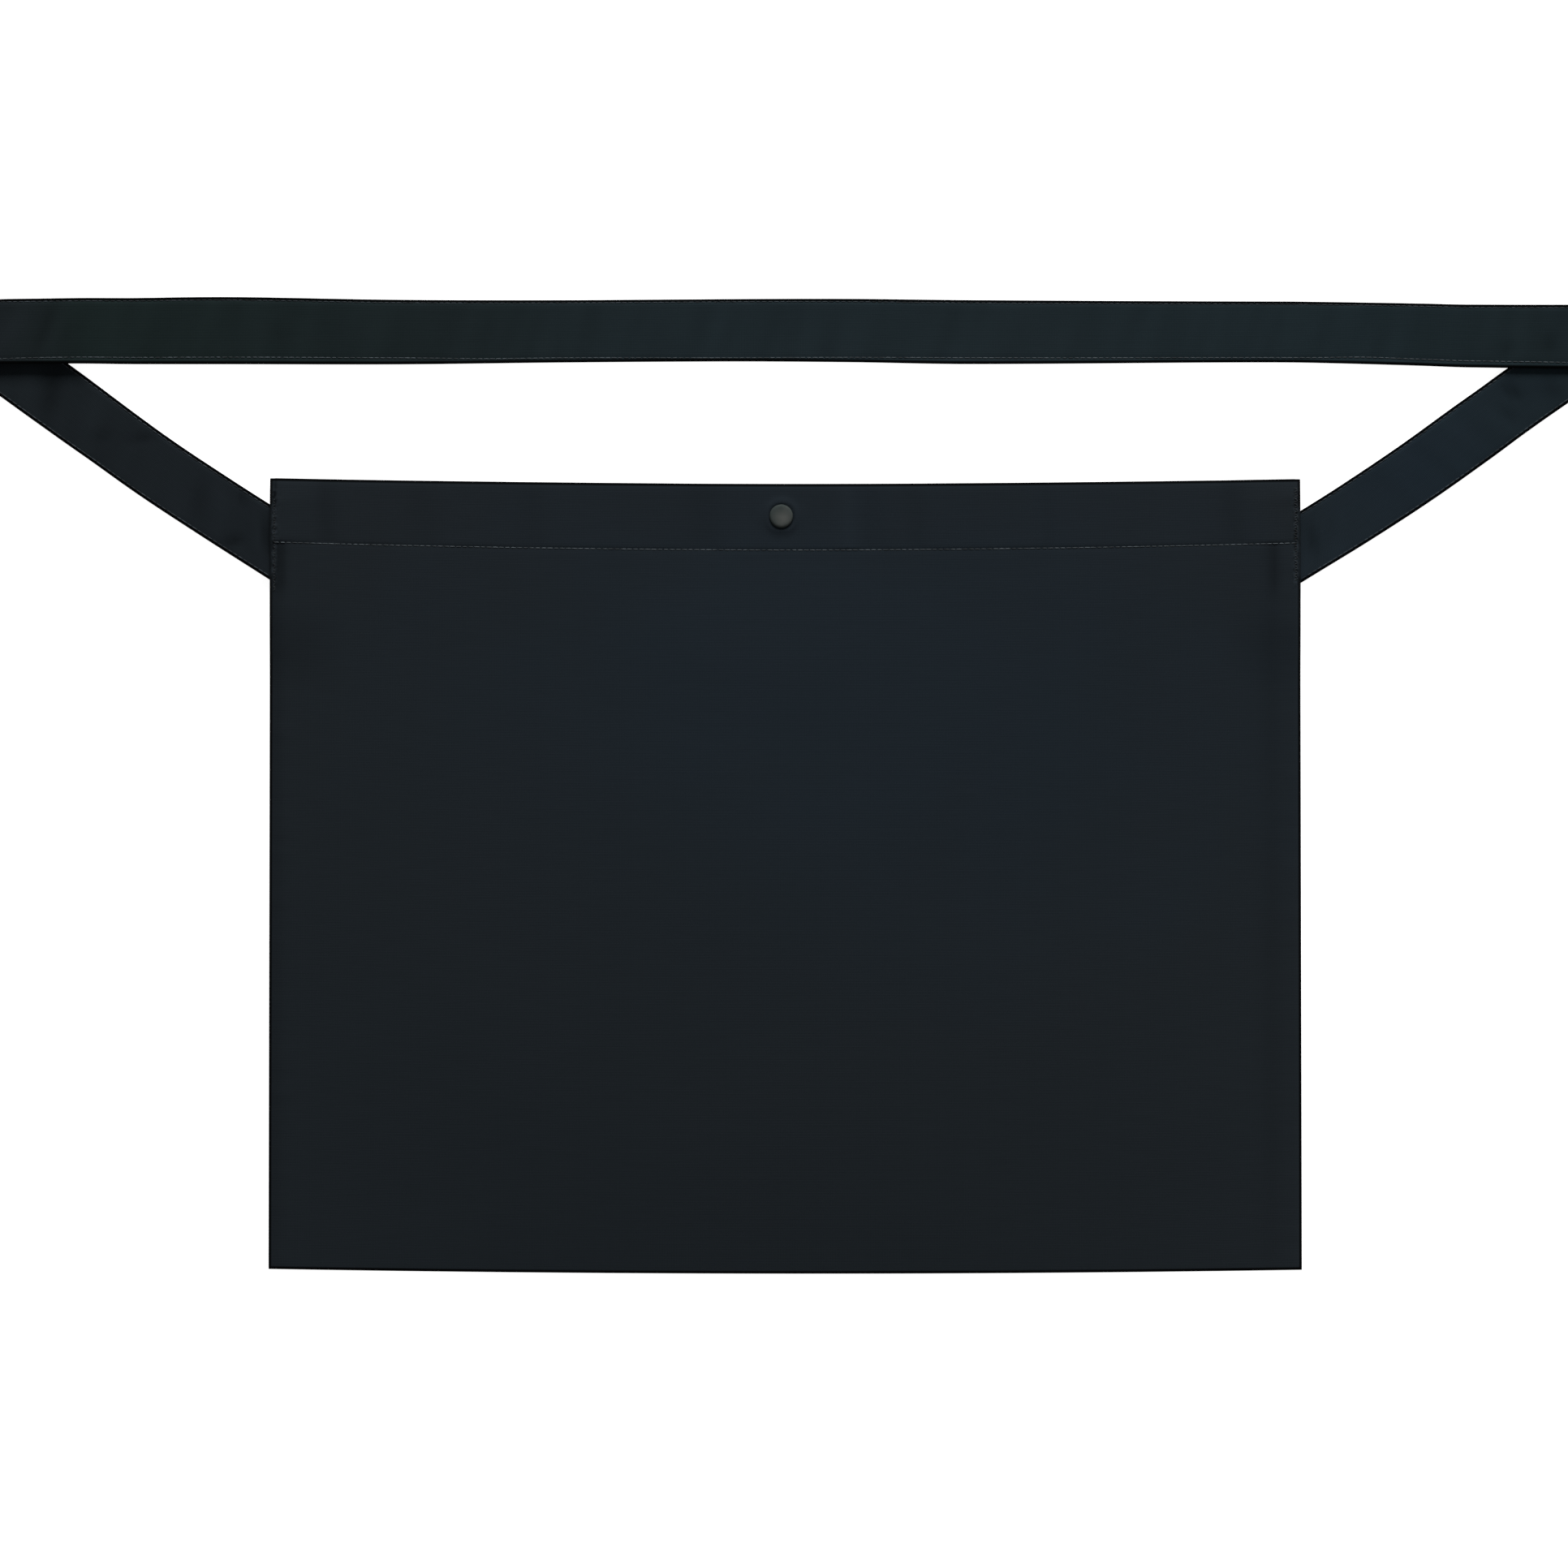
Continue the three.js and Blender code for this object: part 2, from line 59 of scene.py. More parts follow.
# Camera. It looks straight down on the bag as the photograph does, far away through a long lens,
# so that the flat cloth keeps its right angles. The photograph is 618 mm wide where the cloth is,
# and cuts off both folds of the strap.
photo_width = 0.6182
photo_middle = (-0.0011, 0.0004)
camera_height = 2.4
cloth_height = 0.003
camera = bpy.data.objects.new("camera", bpy.data.cameras.new("camera"))
camera.location = (*photo_middle, camera_height)
camera.data.lens = camera.data.sensor_width * (camera_height - cloth_height) / photo_width
bpy.context.scene.collection.objects.link(camera)
bpy.context.scene.camera = camera

# Floor and light. A white table lit from below as well as from above, so that it shows as plain
# white with hardly a shadow. One large soft lamp beyond the strap, low enough to shade the folds
# and edges, in an even white light, and a small lamp for the glint on the snap.
floor_side = 12.0
floor_drop = 0.0002
floor_glow = 0.9
sky_strength = 0.22
lamp_power = 555.0
lamp_size = (4.3, 2.3)
lamp_place = Vector((0.4, 5.4, 3.0))
glint_power = 1.5
glint_side = 0.1
glint_place = Vector((0.8, -0.8, 1.2))


def linear(hex_colour):
    """An sRGB hex colour as linear RGBA."""
    parts = [int(hex_colour[k : k + 2], 16) / 255 for k in (1, 3, 5)]
    curve = [c / 12.92 if c <= 0.04045 else ((c + 0.055) / 1.055) ** 2.4 for c in parts]
    return (*curve, 1.0)


def node(tree, kind, inputs=None, **settings):
    """Adds a node. inputs gives each socket, by its name or number, its value or what it reads."""
    made = tree.nodes.new(kind)
    for name, value in settings.items():
        setattr(made, name, value)
    for key, value in (inputs or {}).items():
        if isinstance(value, bpy.types.Node):
            value = next(output for output in value.outputs if output.enabled)
        if isinstance(value, bpy.types.NodeSocket):
            tree.links.new(value, made.inputs[key])
        else:
            made.inputs[key].default_value = value
    return made


def new_material(name):
    """A material with no nodes yet, and its tree."""
    material = bpy.data.materials.new(name)
    material.use_nodes = True
    material.node_tree.nodes.clear()
    return material, material.node_tree


def surface(tree, inputs):
    """The one shader of a material's tree, with its inputs."""
    shader = node(tree, "ShaderNodeBsdfPrincipled", inputs)
    node(tree, "ShaderNodeOutputMaterial", {"Surface": shader})


world = bpy.data.worlds.new("even white light")
world.use_nodes = True
world.node_tree.nodes["Background"].inputs["Color"].default_value = linear("#FFFFFF")
world.node_tree.nodes["Background"].inputs["Strength"].default_value = sky_strength
bpy.context.scene.world = world
bpy.context.scene.view_settings.view_transform = "Standard"


def area_lamp(name, power, size, place):
    data = bpy.data.lights.new(name, "AREA")
    data.shape = "RECTANGLE"
    data.size, data.size_y = size
    data.energy = power
    lamp = bpy.data.objects.new(name, data)
    lamp.location = place
    lamp.rotation_euler = place.to_track_quat("Z", "Y").to_euler()
    bpy.context.scene.collection.objects.link(lamp)


area_lamp("soft lamp", lamp_power, lamp_size, lamp_place)
area_lamp("small lamp", glint_power, (glint_side, glint_side), glint_place)

floor_paint, tree = new_material("white light table")
surface(tree, {
    "Base Color": linear("#CFCFCF"),
    "Roughness": 1.0,
    "Specular IOR Level": 0.0,
    "Emission Color": linear("#FFFFFF"),
    "Emission Strength": floor_glow,
})
half = floor_side / 2
floor_mesh = bpy.data.meshes.new("floor")
floor_mesh.from_pydata(
    [(x, y, -floor_drop) for x, y in ((-half, -half), (half, -half), (half, half), (-half, half))],
    [],
    [(0, 1, 2, 3)],
)
floor_mesh.materials.append(floor_paint)
floor = bpy.data.objects.new("floor", floor_mesh)
bpy.context.scene.collection.objects.link(floor)
floor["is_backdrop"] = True

# Front cloth. One layer of dark navy cotton canvas, with a double-turned hem 25 mm deep at the
# mouth. It was sewn to the back cloth along its sides and bottom and turned right side out, so
# its edges are small rolls. It lies slack, a little higher in the middle, and the snap holds it.
# Sizes in millimetres, in the bag's own flat frame: x from its middle, y from its bottom seam.
bag_width = 406
bag_height = 311
side_flare = 0.7  # how much further out each side is at the bottom
top_dip = 2.3  # of the mouth's middle
bottom_sag = 1.7  # of the bottom seam's middle
# How far each corner has been pulled, across and up, from the panel's plain outline
corner_pull = {(-1, 1): (0.0, 0.5), (1, 1): (0.25, 0.15), (-1, 0): (0.0, -0.4), (1, 0): (0.3, -0.75)}
front_puff = 7.5  # of the slack middle over the seams
crown_power = 4  # the higher, the flatter the middle
canvas = 0.7  # one layer
hem_cloth = 2.2  # three layers
hem_depth = 25.6
hem_line_lift = 0.4  # of the stitch line's ends
hem_extra_dip = 0.9  # the stitch line's middle sinks this much more than the mouth's edge
hem_step, hem_start = 1.2, 0.2  # how wide the hem's step is, and its share below the stitch line
edge_roll = 1.5  # outer radius of the rolled edges
hem_roll = 2.5
touch = 0.05  # between pieces that lie on each other
strap_width = 25.4
strap_thickness = 1.6
sewn_press = 0.38  # share of the strap's thickness that is left where it is sewn into the seams
strap_entry = {-1: 24.6, 1: 26.7}  # the strap's middle below each top corner
slot_top, slot_low = 9.3, 49.5  # where the strap's ends spread the seams, down from the corners
slot_top_ease, slot_low_ease = 9.2, 34  # over which the seams close again
edge_hold, edge_fade = 12, 26  # how far in the seams' height reaches, and then fades
snap_offset = -1.4
snap_flat = 5.8  # half the flat patch about the snap
front_pull = (76, 60)  # how far past it the snap holds the front down, across and along
back_pull = (14, 14)
half_width = bag_width / 2
hem_line = bag_height - hem_depth
snap_y = bag_height - hem_depth / 2
panel_low, panel_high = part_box("front_panel")
bag_middle = (panel_low.x + panel_high.x) / 2
bag_foot = panel_high.y - bag_height / 1000
mm = 0.001


def in_frame(points):
    """Points from the bag's own millimetres to the row's frame, in metres."""
    return np.asarray(points, float) * mm + np.array([bag_middle, bag_foot, 0.0])


def smooth(share):
    s = np.clip(share, 0, 1)
    return s * s * (3 - 2 * s)


def mix(a, b, share):
    return a + (b - a) * share


def ridge(distance, width):
    """A soft bump, 1 at its middle and nearly 0 at a distance of width."""
    return np.exp(-((2 * distance / width) ** 2))


def wander(x, y, size, seed):
    """Smooth uneven values between about -1 and 1, which change over the given size."""
    flat = [
        noise.noise(Vector((a / size, b / size, seed)))
        for a, b in zip(np.ravel(x), np.ravel(y))
    ]
    return np.array(flat).reshape(np.shape(x))


def outline(x, y):
    across, up = x / half_width, y / bag_height
    bow = 1 - across**2
    low, high = -bottom_sag * bow, bag_height - top_dip * bow
    flat_x, flat_y = x + across * side_flare * (1 - up), mix(low, high, up)
    for (side, level), (pull_x, pull_y) in corner_pull.items():
        near = (1 + side * across) / 2 * (up if level else 1 - up)
        flat_x, flat_y = flat_x + pull_x * near, flat_y + pull_y * near
    return flat_x, flat_y


def hem_line_at(x):
    return hem_line + hem_line_lift - hem_extra_dip * (1 - (x / half_width) ** 2)


def cloth_at(x, y):
    """The panel's thickness."""
    return mix(canvas, hem_cloth, smooth((y - hem_line_at(x)) / hem_step + 0.5))


def in_hem(x, y):
    """0 below the hem and 1 on it."""
    return smooth((y - hem_line_at(x)) / hem_step + hem_start)


def seam_radius(y):
    return mix(edge_roll, hem_roll, smooth((y - bag_height + slot_low + slot_low_ease) / slot_low_ease))


def edge_share(x):
    """1 at the side seams and 0 in the middle."""
    return 1 - smooth((half_width - np.abs(x) - edge_hold) / edge_fade)


def slot_at(y):
    """How far the strap's end spreads the side seams."""
    down = bag_height - y
    above = smooth((down - slot_top + slot_top_ease) / slot_top_ease)
    below = smooth((slot_low + slot_low_ease - down) / slot_low_ease)
    return (strap_thickness * sewn_press + touch) * above * below


def snap_hold(x, y, pull):
    """1 at the snap and 0 where the cloth no longer feels it."""
    dx = np.maximum(0, np.abs(x - snap_offset) - snap_flat) / pull[0]
    dy = np.maximum(0, np.abs(y - snap_y) - snap_flat) / pull[1]
    return 1 - smooth(np.hypot(dx, dy))


# Heights of the snap's parts, which the hems rest on
snap_cap_low, snap_cap_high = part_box("snap_cap")
snap_middle = (snap_cap_low.xy + snap_cap_high.xy) / 2
back_hem_floor = 1.0
front_hem_floor = 6.7
cap_radius = (snap_cap_high.x - snap_cap_low.x) / 2 / mm

# Soft bands across the hem, hollow with painted shade where they are dark and raised with painted
# light where they are light: place across, share of light and width
hem_bands = [
    (-181, -0.13, 9), (-143, -0.06, 14), (-100, -0.06, 11), (-32, -0.08, 17), (24, 0.09, 7),
    (34, -0.06, 10), (51, -0.06, 9), (103, -0.04, 6), (176, -0.1, 10),
]
band_slant = 0.06
# Valleys along the side seams, where the seam allowance ends, sunk in the cloth and darkened with
# painted shade: which side, how far in, share of light, width and how far they reach down from the hem
side_valleys = [
    (-1, 4.4, -0.34, 4.2, 26), (-1, 2.4, -0.16, 5.5, 400),
    (1, 10.8, -0.22, 4.6, 26), (1, 12.0, -0.1, 9.0, 400),
]
valley_start, valley_fade = 2.0, 0.5  # in mm, and as a share of how far it reaches
band_depth, valley_depth = 2.5, 1.2  # of a whole share of light, in mm
black_line, black_fade = 0.95, 0.35  # a black line of painted shade along a folded edge's outermost part, which turns under
dark_fold = 0.95
rim_place, rim_width = 1.45, 1.3  # a line of painted light inside it, where the fold's fibres catch the light
mouth_rim, side_rim, foot_rim = 0.16, {-1: 0.0, 1: 0.05}, 0.05
# Where the strap comes out of the side seams: its reach down from the corner, the share of the
# painted black line that is missing there, and how much lighter the ragged strip of the seam is
zone_top, zone_low, zone_fade = 10, 40, 2
zone_light = 0.75
seam_strip = {-1: 0.3, 1: 0.08}
strip_place, strip_width = 1.3, 2.6
strip_swing, strip_swing_size = 0.7, 2.4
# A line of painted light below the mouth, and one of painted shade in the left corner, above the strap
mouth_light, mouth_light_from, mouth_light_fade = 0.07, 1.2, 4
corner_dark, corner_place, corner_width = 0.35, 2.4, 1.2
corner_low, corner_fade = 9, 3
# A ring of painted shadow round the snap's cap, darkest to its lower right
ring_gap, ring_width = 0.3, 0.9
ring_dark, ring_darkest = 0.15, 0.28
ring_darkest_way = (0.9, -0.44)


def valleys(x, y):
    total = 0 * x
    for side, place, share, width, reach in side_valleys:
        down = hem_line_at(x) - y
        here = smooth((reach - down) / (valley_fade * reach)) * smooth(down / valley_start + 0.5)
        total = total + share * ridge(side * x - half_width + place, width) * here
    return total


def bands(x, y):
    total = 0 * x
    for place, share, width in hem_bands:
        total = total + share * ridge(x - place + band_slant * (y - snap_y), width)
    return total * in_hem(x, y)


def edge_shade(from_edge, rim, dark=dark_fold):
    """Share of painted light near a folded edge: a black line of painted shade, and a painted highlight
    inside it.
    """
    black = 1 - dark * (1 - smooth((from_edge - black_line) / black_fade))
    return black * (1 + rim * ridge(from_edge - rim_place, rim_width))


def between(at, start, end, fade):
    """1 inside the span from start to end and 0 outside it, rising over fade."""
    return smooth((at - start) / fade) * smooth((end - at) / fade)


def strap_zone(y):
    """1 where the strap comes out of the side seams."""
    return between(bag_height - y, zone_top, zone_low, zone_fade)


def outer_shade(x, y):
    """Share of painted light and shade along a panel's edges."""
    shade = edge_shade(y, foot_rim) * edge_shade(bag_height - y, mouth_rim)
    for side, rim in side_rim.items():
        dark = dark_fold * (1 - zone_light * strap_zone(y))
        shade = shade * edge_shade(half_width - side * x, rim, dark)
    return shade


def front_shade(x, y):
    """Share of painted light and shade all over the front cloth: its edges, bands and valleys, and
    about the snap.
    """
    from_mouth = bag_height - y
    mouth = 1 + mouth_light * (1 - smooth((from_mouth - mouth_light_from) / mouth_light_fade))
    shade = outer_shade(x, y) * mouth * (1 + bands(x, y)) * (1 + valleys(x, y))
    from_side = half_width - np.abs(x)
    strip = np.where(x < 0, seam_strip[-1], seam_strip[1]) * strap_zone(y)
    ragged = strip_swing * wander(y, 0 * y, strip_swing_size, seed=5.8)
    shade = shade * (1 + strip * ridge(from_side - strip_place + ragged, strip_width))
    corner = np.where(x < 0, 1, 0) * (1 - smooth((from_mouth - corner_low) / corner_fade))
    shade = shade * (1 - corner_dark * corner * ridge(from_side - corner_place, corner_width))
    dx, dy = x - snap_offset, y - snap_y
    from_snap = np.maximum(np.hypot(dx, dy), 1)
    lower = 0.5 + 0.5 * (ring_darkest_way[0] * dx + ring_darkest_way[1] * dy) / from_snap
    ring = ridge(from_snap - cap_radius - ring_gap, ring_width)
    return shade * (1 - ring * mix(ring_dark, ring_darkest, lower))


# Where the stitches that hold the strap crowd the side seams, down from the corner and in
sewn_top, sewn_low, sewn_fade = 2, 44, 4
sewn_place, sewn_width = 1.9, 2.2


def sewn_zone(x, y):
    """1 in the middle of the sewn strip of each side seam."""
    here = between(bag_height - y, sewn_top, sewn_low, sewn_fade)
    return ridge(half_width - np.abs(x) - sewn_place, sewn_width) * here


# The cloth's relief: slack waves, calmer in the stiff hem; puckers along the seams and the hem's
# stitches; the hem's own rise, with its stitches sunk in a groove; and a swell round the cap
slack_waves = [(0.55, 95, 3.1), (0.2, 38, 8.6)]  # height, size and seed
slack_inset = 30
hem_calm, calm_fade, calm_start = 0.35, 25, 0.2
seam_pucker, pucker_place, pucker_width = 0.16, 3, 12
side_pucker_size, foot_pucker_size = 5.5, 6.5
side_apart = 40  # sets the two sides' puckers apart
hem_rise = 0.22
stitch_groove, groove_width = 0.1, 2.2
hem_pucker, hem_pucker_size, hem_pucker_width = 0.1, 7, 16
hem_pucker_stretch = 0.25
swell, swell_gap, swell_width = 0.55, 1.0, 3.4
cap_press, cap_press_fade = 1.5, 2.5  # the cap presses the cloth flat this far in from its edge


def front_relief(x, y):
    """What the cloth does between its seams, in millimetres."""
    from_side = half_width - np.abs(x)
    slack = sum(height * wander(x, y, size, seed) for height, size, seed in slack_waves)
    slack = slack * smooth(from_side / slack_inset) * smooth(y / slack_inset)
    from_stitch = y - hem_line_at(x)
    height = slack * mix(hem_calm, 1, smooth(calm_start - from_stitch / calm_fade))
    height += valley_depth * valleys(x, y)
    side_puckers = wander(y, np.sign(x) * side_apart, side_pucker_size, seed=2.0)
    foot_puckers = wander(x, x * 0, foot_pucker_size, seed=6.0)
    pucker = side_puckers * ridge(from_side - pucker_place, pucker_width)
    pucker += foot_puckers * ridge(y - pucker_place, pucker_width)
    height += seam_pucker * pucker
    height += hem_rise * in_hem(x, y) - stitch_groove * ridge(from_stitch, groove_width)
    pucker = wander(x, y * hem_pucker_stretch, hem_pucker_size, seed=4.4)
    height += hem_pucker * pucker * ridge(from_stitch, hem_pucker_width)
    height += band_depth * bands(x, y)
    from_cap = np.hypot(x - snap_offset, y - snap_y) - cap_radius
    height += swell * ridge(from_cap - swell_gap, swell_width)
    return height * smooth((from_cap + cap_press) / cap_press_fade)


# The panels' meshes: steps round the seams' roll and the hem's edge, and where plain rows begin
roll_steps = edge_steps = 9
plain_inset = 3.5
least_gap = 0.4  # of a step, between a plain row and a finer one
square_power = 0.25  # of the hem's edge at the sides; 1 is round
cloth_sharp = math.radians(50)


def plan_of(grid, inner):
    """Flat places of a panel's grid, its wall and how far its edges have rolled over."""
    turn_x, side, at_x, turn_y, at_y = grid
    row_y = np.where(np.isnan(at_y), edge_roll, at_y)
    wall = cloth_at(np.nan_to_num(at_x, nan=half_width), row_y) if inner else np.zeros_like(row_y)
    roll = seam_radius(row_y) - wall
    x = np.where(np.isnan(at_x), side * (half_width - wall - roll * (1 - np.cos(turn_x))), at_x)
    y = np.where(np.isnan(at_y), wall + (edge_roll - wall) * (1 - np.cos(turn_y)), at_y)
    return x, y, wall, np.sin(turn_x) * np.sin(turn_y)


def front_point(grid, inner):
    x, y, wall, lift = plan_of(grid, inner)
    edge = edge_share(x)
    roll = mix(edge_roll, seam_radius(y), edge)
    seam = roll + touch + slot_at(y) * edge
    raised = seam + roll - 2 * edge_roll - touch
    crown = (1 - np.abs(x / half_width) ** crown_power) * (1 - (1 - y / bag_height) ** crown_power)
    slack = seam + (roll - wall) * lift + front_puff * crown / (1 + raised / front_puff)
    held = front_hem_floor + hem_cloth - wall
    z = mix(slack, held, snap_hold(x, y, front_pull)) + front_relief(x, y) * lift
    return np.stack([*outline(x, y), z], -1), x, y


def panel_grid(step, fine_x, fine_y):
    """Columns that roll over each side edge and rows that roll over the bottom one, every step
    millimetres, with the given finer ones among them."""
    turns = np.linspace(0, np.pi / 2, roll_steps)
    reach = half_width - plain_inset
    mouth = bag_height - hem_cloth / 2
    axes = []
    for low, high, fine in ((-reach, reach, fine_x), (plain_inset, mouth, fine_y)):
        fine = np.array([low, *fine, high], float)
        plain = np.arange(low, high, step)
        apart = np.abs(plain[:, None] - fine[None]).min(1)
        axes.append(np.sort(np.concatenate([plain[apart > step * least_gap], fine])))
    inner_x, inner_y = axes
    nan = np.full(roll_steps, np.nan)
    turn_x = np.concatenate([turns, np.full(inner_x.size, np.pi / 2), turns[::-1]])
    side = np.concatenate([-np.ones(roll_steps), np.zeros(inner_x.size), np.ones(roll_steps)])
    at_x = np.concatenate([nan, inner_x, nan])
    turn_y = np.concatenate([turns, np.full(inner_y.size, np.pi / 2)])
    at_y = np.concatenate([nan, inner_y])
    return [np.array(a) for a in np.broadcast_arrays(
        turn_x[:, None], side[:, None], at_x[:, None], turn_y[None], at_y[None]
    )]


def panel_mesh(name, point_of, grid, shade_of):
    """A panel as closed rings: up its outer face, over the hem's round edge and down inside.
    The edge's section is squarer towards the sides, which keeps the mouth's corners sharp."""
    outer, outer_x, outer_y = point_of(grid, False)
    inner, inner_x, inner_y = point_of(grid, True)
    middle = (outer[:, -1] + inner[:, -1]) / 2
    arm = outer[:, -1] - middle
    turns = np.linspace(0, np.pi, edge_steps + 2)[1:-1][None]
    power = mix(square_power, 1.0, np.sin(grid[0][:, :1]))
    level = np.sign(np.cos(turns)) * np.abs(np.cos(turns)) ** power
    out = np.sin(turns) ** power
    edge = middle[:, None] + arm[:, None] * level[..., None]
    edge[..., 1] += np.linalg.norm(arm, axis=1)[:, None] * out
    rings = np.concatenate([outer, edge, inner[:, ::-1]], 1)
    top_x = np.repeat(outer_x[:, -1:], edge_steps, 1)
    top_y = np.repeat(outer_y[:, -1:], edge_steps, 1) + hem_cloth / 2 * out
    flat_x = np.concatenate([outer_x, top_x, inner_x[:, ::-1]], 1)
    flat_y = np.concatenate([outer_y, top_y, inner_y[:, ::-1]], 1)
    count = rings.shape[1]
    ends = []
    for k in range(count // 2):
        a, b, c, d = k, k + 1, count - 1 - k, count - 2 - k
        if b < d:
            ends.append((a, b, d, c))
        elif b == d:
            ends.append((a, b, c))
    marks = {"shade": shade_of(flat_x, flat_y), "sewn": sewn_zone(flat_x, flat_y)}
    return ring_mesh(name, rings, ends, (flat_x + half_width, flat_y), marks)


def ring_mesh(name, rings, ends, flat, marks):
    """A closed mesh from rings of points, with its cloth's flat places as its UV map in metres, and
    with the values of each mark, which its cloth's material reads."""
    count = rings.shape[1]
    points = in_frame(rings.reshape(-1, 3))
    around = np.arange(count)
    quads = np.stack([around, np.roll(around, -1), np.roll(around, -1) + count, around + count], 1)
    faces = (quads[None] + np.arange(rings.shape[0] - 1)[:, None, None] * count).reshape(-1, 4)
    last = (rings.shape[0] - 1) * count
    faces = faces.tolist()
    faces += [tuple(reversed(face)) for face in ends]
    faces += [tuple(last + k for k in face) for face in ends]
    mesh = bpy.data.meshes.new(name)
    mesh.from_pydata(points.tolist(), [], faces)
    corners = np.empty(len(mesh.loops), np.int32)
    mesh.loops.foreach_get("vertex_index", corners)
    places = np.stack([np.ravel(flat[0]), np.ravel(flat[1])], 1)[corners] * mm
    mesh.uv_layers.new(name="UVMap").uv.foreach_set("vector", places.astype(np.float32).ravel())
    for mark, values in marks.items():
        layer = mesh.attributes.new(mark, "FLOAT", "POINT")
        layer.data.foreach_set("value", np.ravel(values).astype(np.float32))
    if signed_volume(mesh) < 0:
        mesh.flip_normals()
    mesh.shade_smooth()
    mesh.set_sharp_from_angle(angle=cloth_sharp)
    return mesh


def signed_volume(mesh):
    """Above zero where a closed mesh's faces point outwards."""
    mesh.calc_loop_triangles()
    corners = np.empty(len(mesh.loop_triangles) * 3, np.int32)
    mesh.loop_triangles.foreach_get("vertices", corners)
    co = np.empty(len(mesh.vertices) * 3, np.float32)
    mesh.vertices.foreach_get("co", co)
    a, b, c = co.reshape(-1, 3)[corners.reshape(-1, 3)].transpose(1, 0, 2)
    return float((a * np.cross(b, c)).sum())


def add_piece(name, mesh, material, slot, *nodes):
    """The piece's object, which rides on the one body and stands for the given CAD nodes."""
    mesh.materials.clear()
    mesh.materials.append(material)
    piece = bpy.data.objects.new(name, mesh)
    bpy.context.scene.collection.objects.link(piece)
    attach(piece, "root")
    if nodes:
        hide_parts(*nodes)
    return piece


# Plain-woven cotton canvas, piece-dyed navy black: dull, with hardly a sheen, its dye uneven over
# some centimetres. Real threads lie 0.45 mm apart, and are drawn at 0.6 mm so that they show.
thread_spacing = 0.6
thread_relief = 0.03
thread_bend = 0.4  # how much lower a thread is where it passes under another
slub_size = (14.0, 0.9)  # of the thicker places in a thread
slub_relief = 0.7  # beside the weave's
mottle_size = 42.0
speck_size = 1.5  # of the light and dark dots in a sewn strip
# The weave's tones are painted shade between the threads and a little painted light on their crowns
slub_tones, weave_shade, speck_tones = (0.975, 1.025), (0.92, 1.03), (-0.6, 0.6)
cloth_roughness = (0.88, 0.97)
noise_span = (0.3, 0.7)  # where nearly all the values of a noise texture lie


def calc(tree, operation, *given):
    """A math node that reads the given numbers, sockets or nodes in turn."""
    return node(tree, "ShaderNodeMath", dict(enumerate(given)), operation=operation)


def vector_calc(tree, operation, *given):
    """The same for vectors."""
    return node(tree, "ShaderNodeVectorMath", dict(enumerate(given)), operation=operation)


def scaled(tree, vector, share):
    return node(tree, "ShaderNodeVectorMath", {0: vector, "Scale": share}, operation="SCALE")


def mapped(tree, value, given, wanted):
    """The value, moved from the given span to the wanted one and held within it."""
    return node(tree, "ShaderNodeMapRange", dict(enumerate((value, *given, *wanted))))


def cloudy(tree, place, size, detail=2.0, roughness=0.5):
    """Noise with patches of about the given size in millimetres."""
    return node(tree, "ShaderNodeTexNoise", {
        "Vector": place, "Scale": 1 / (size * mm), "Detail": detail, "Roughness": roughness,
    })


def bumped(tree, height, depth, strength=1.0):
    """Relief that is too fine for the mesh, depth millimetres deep."""
    return node(tree, "ShaderNodeBump", {
        "Height": height, "Strength": strength, "Distance": depth * mm,
    })


def blended(tree, share, low, high):
    """The low colour where share is 0 and the high one where it is 1."""
    return node(tree, "ShaderNodeMix", {0: share, 6: low, 7: high}, data_type="RGBA")


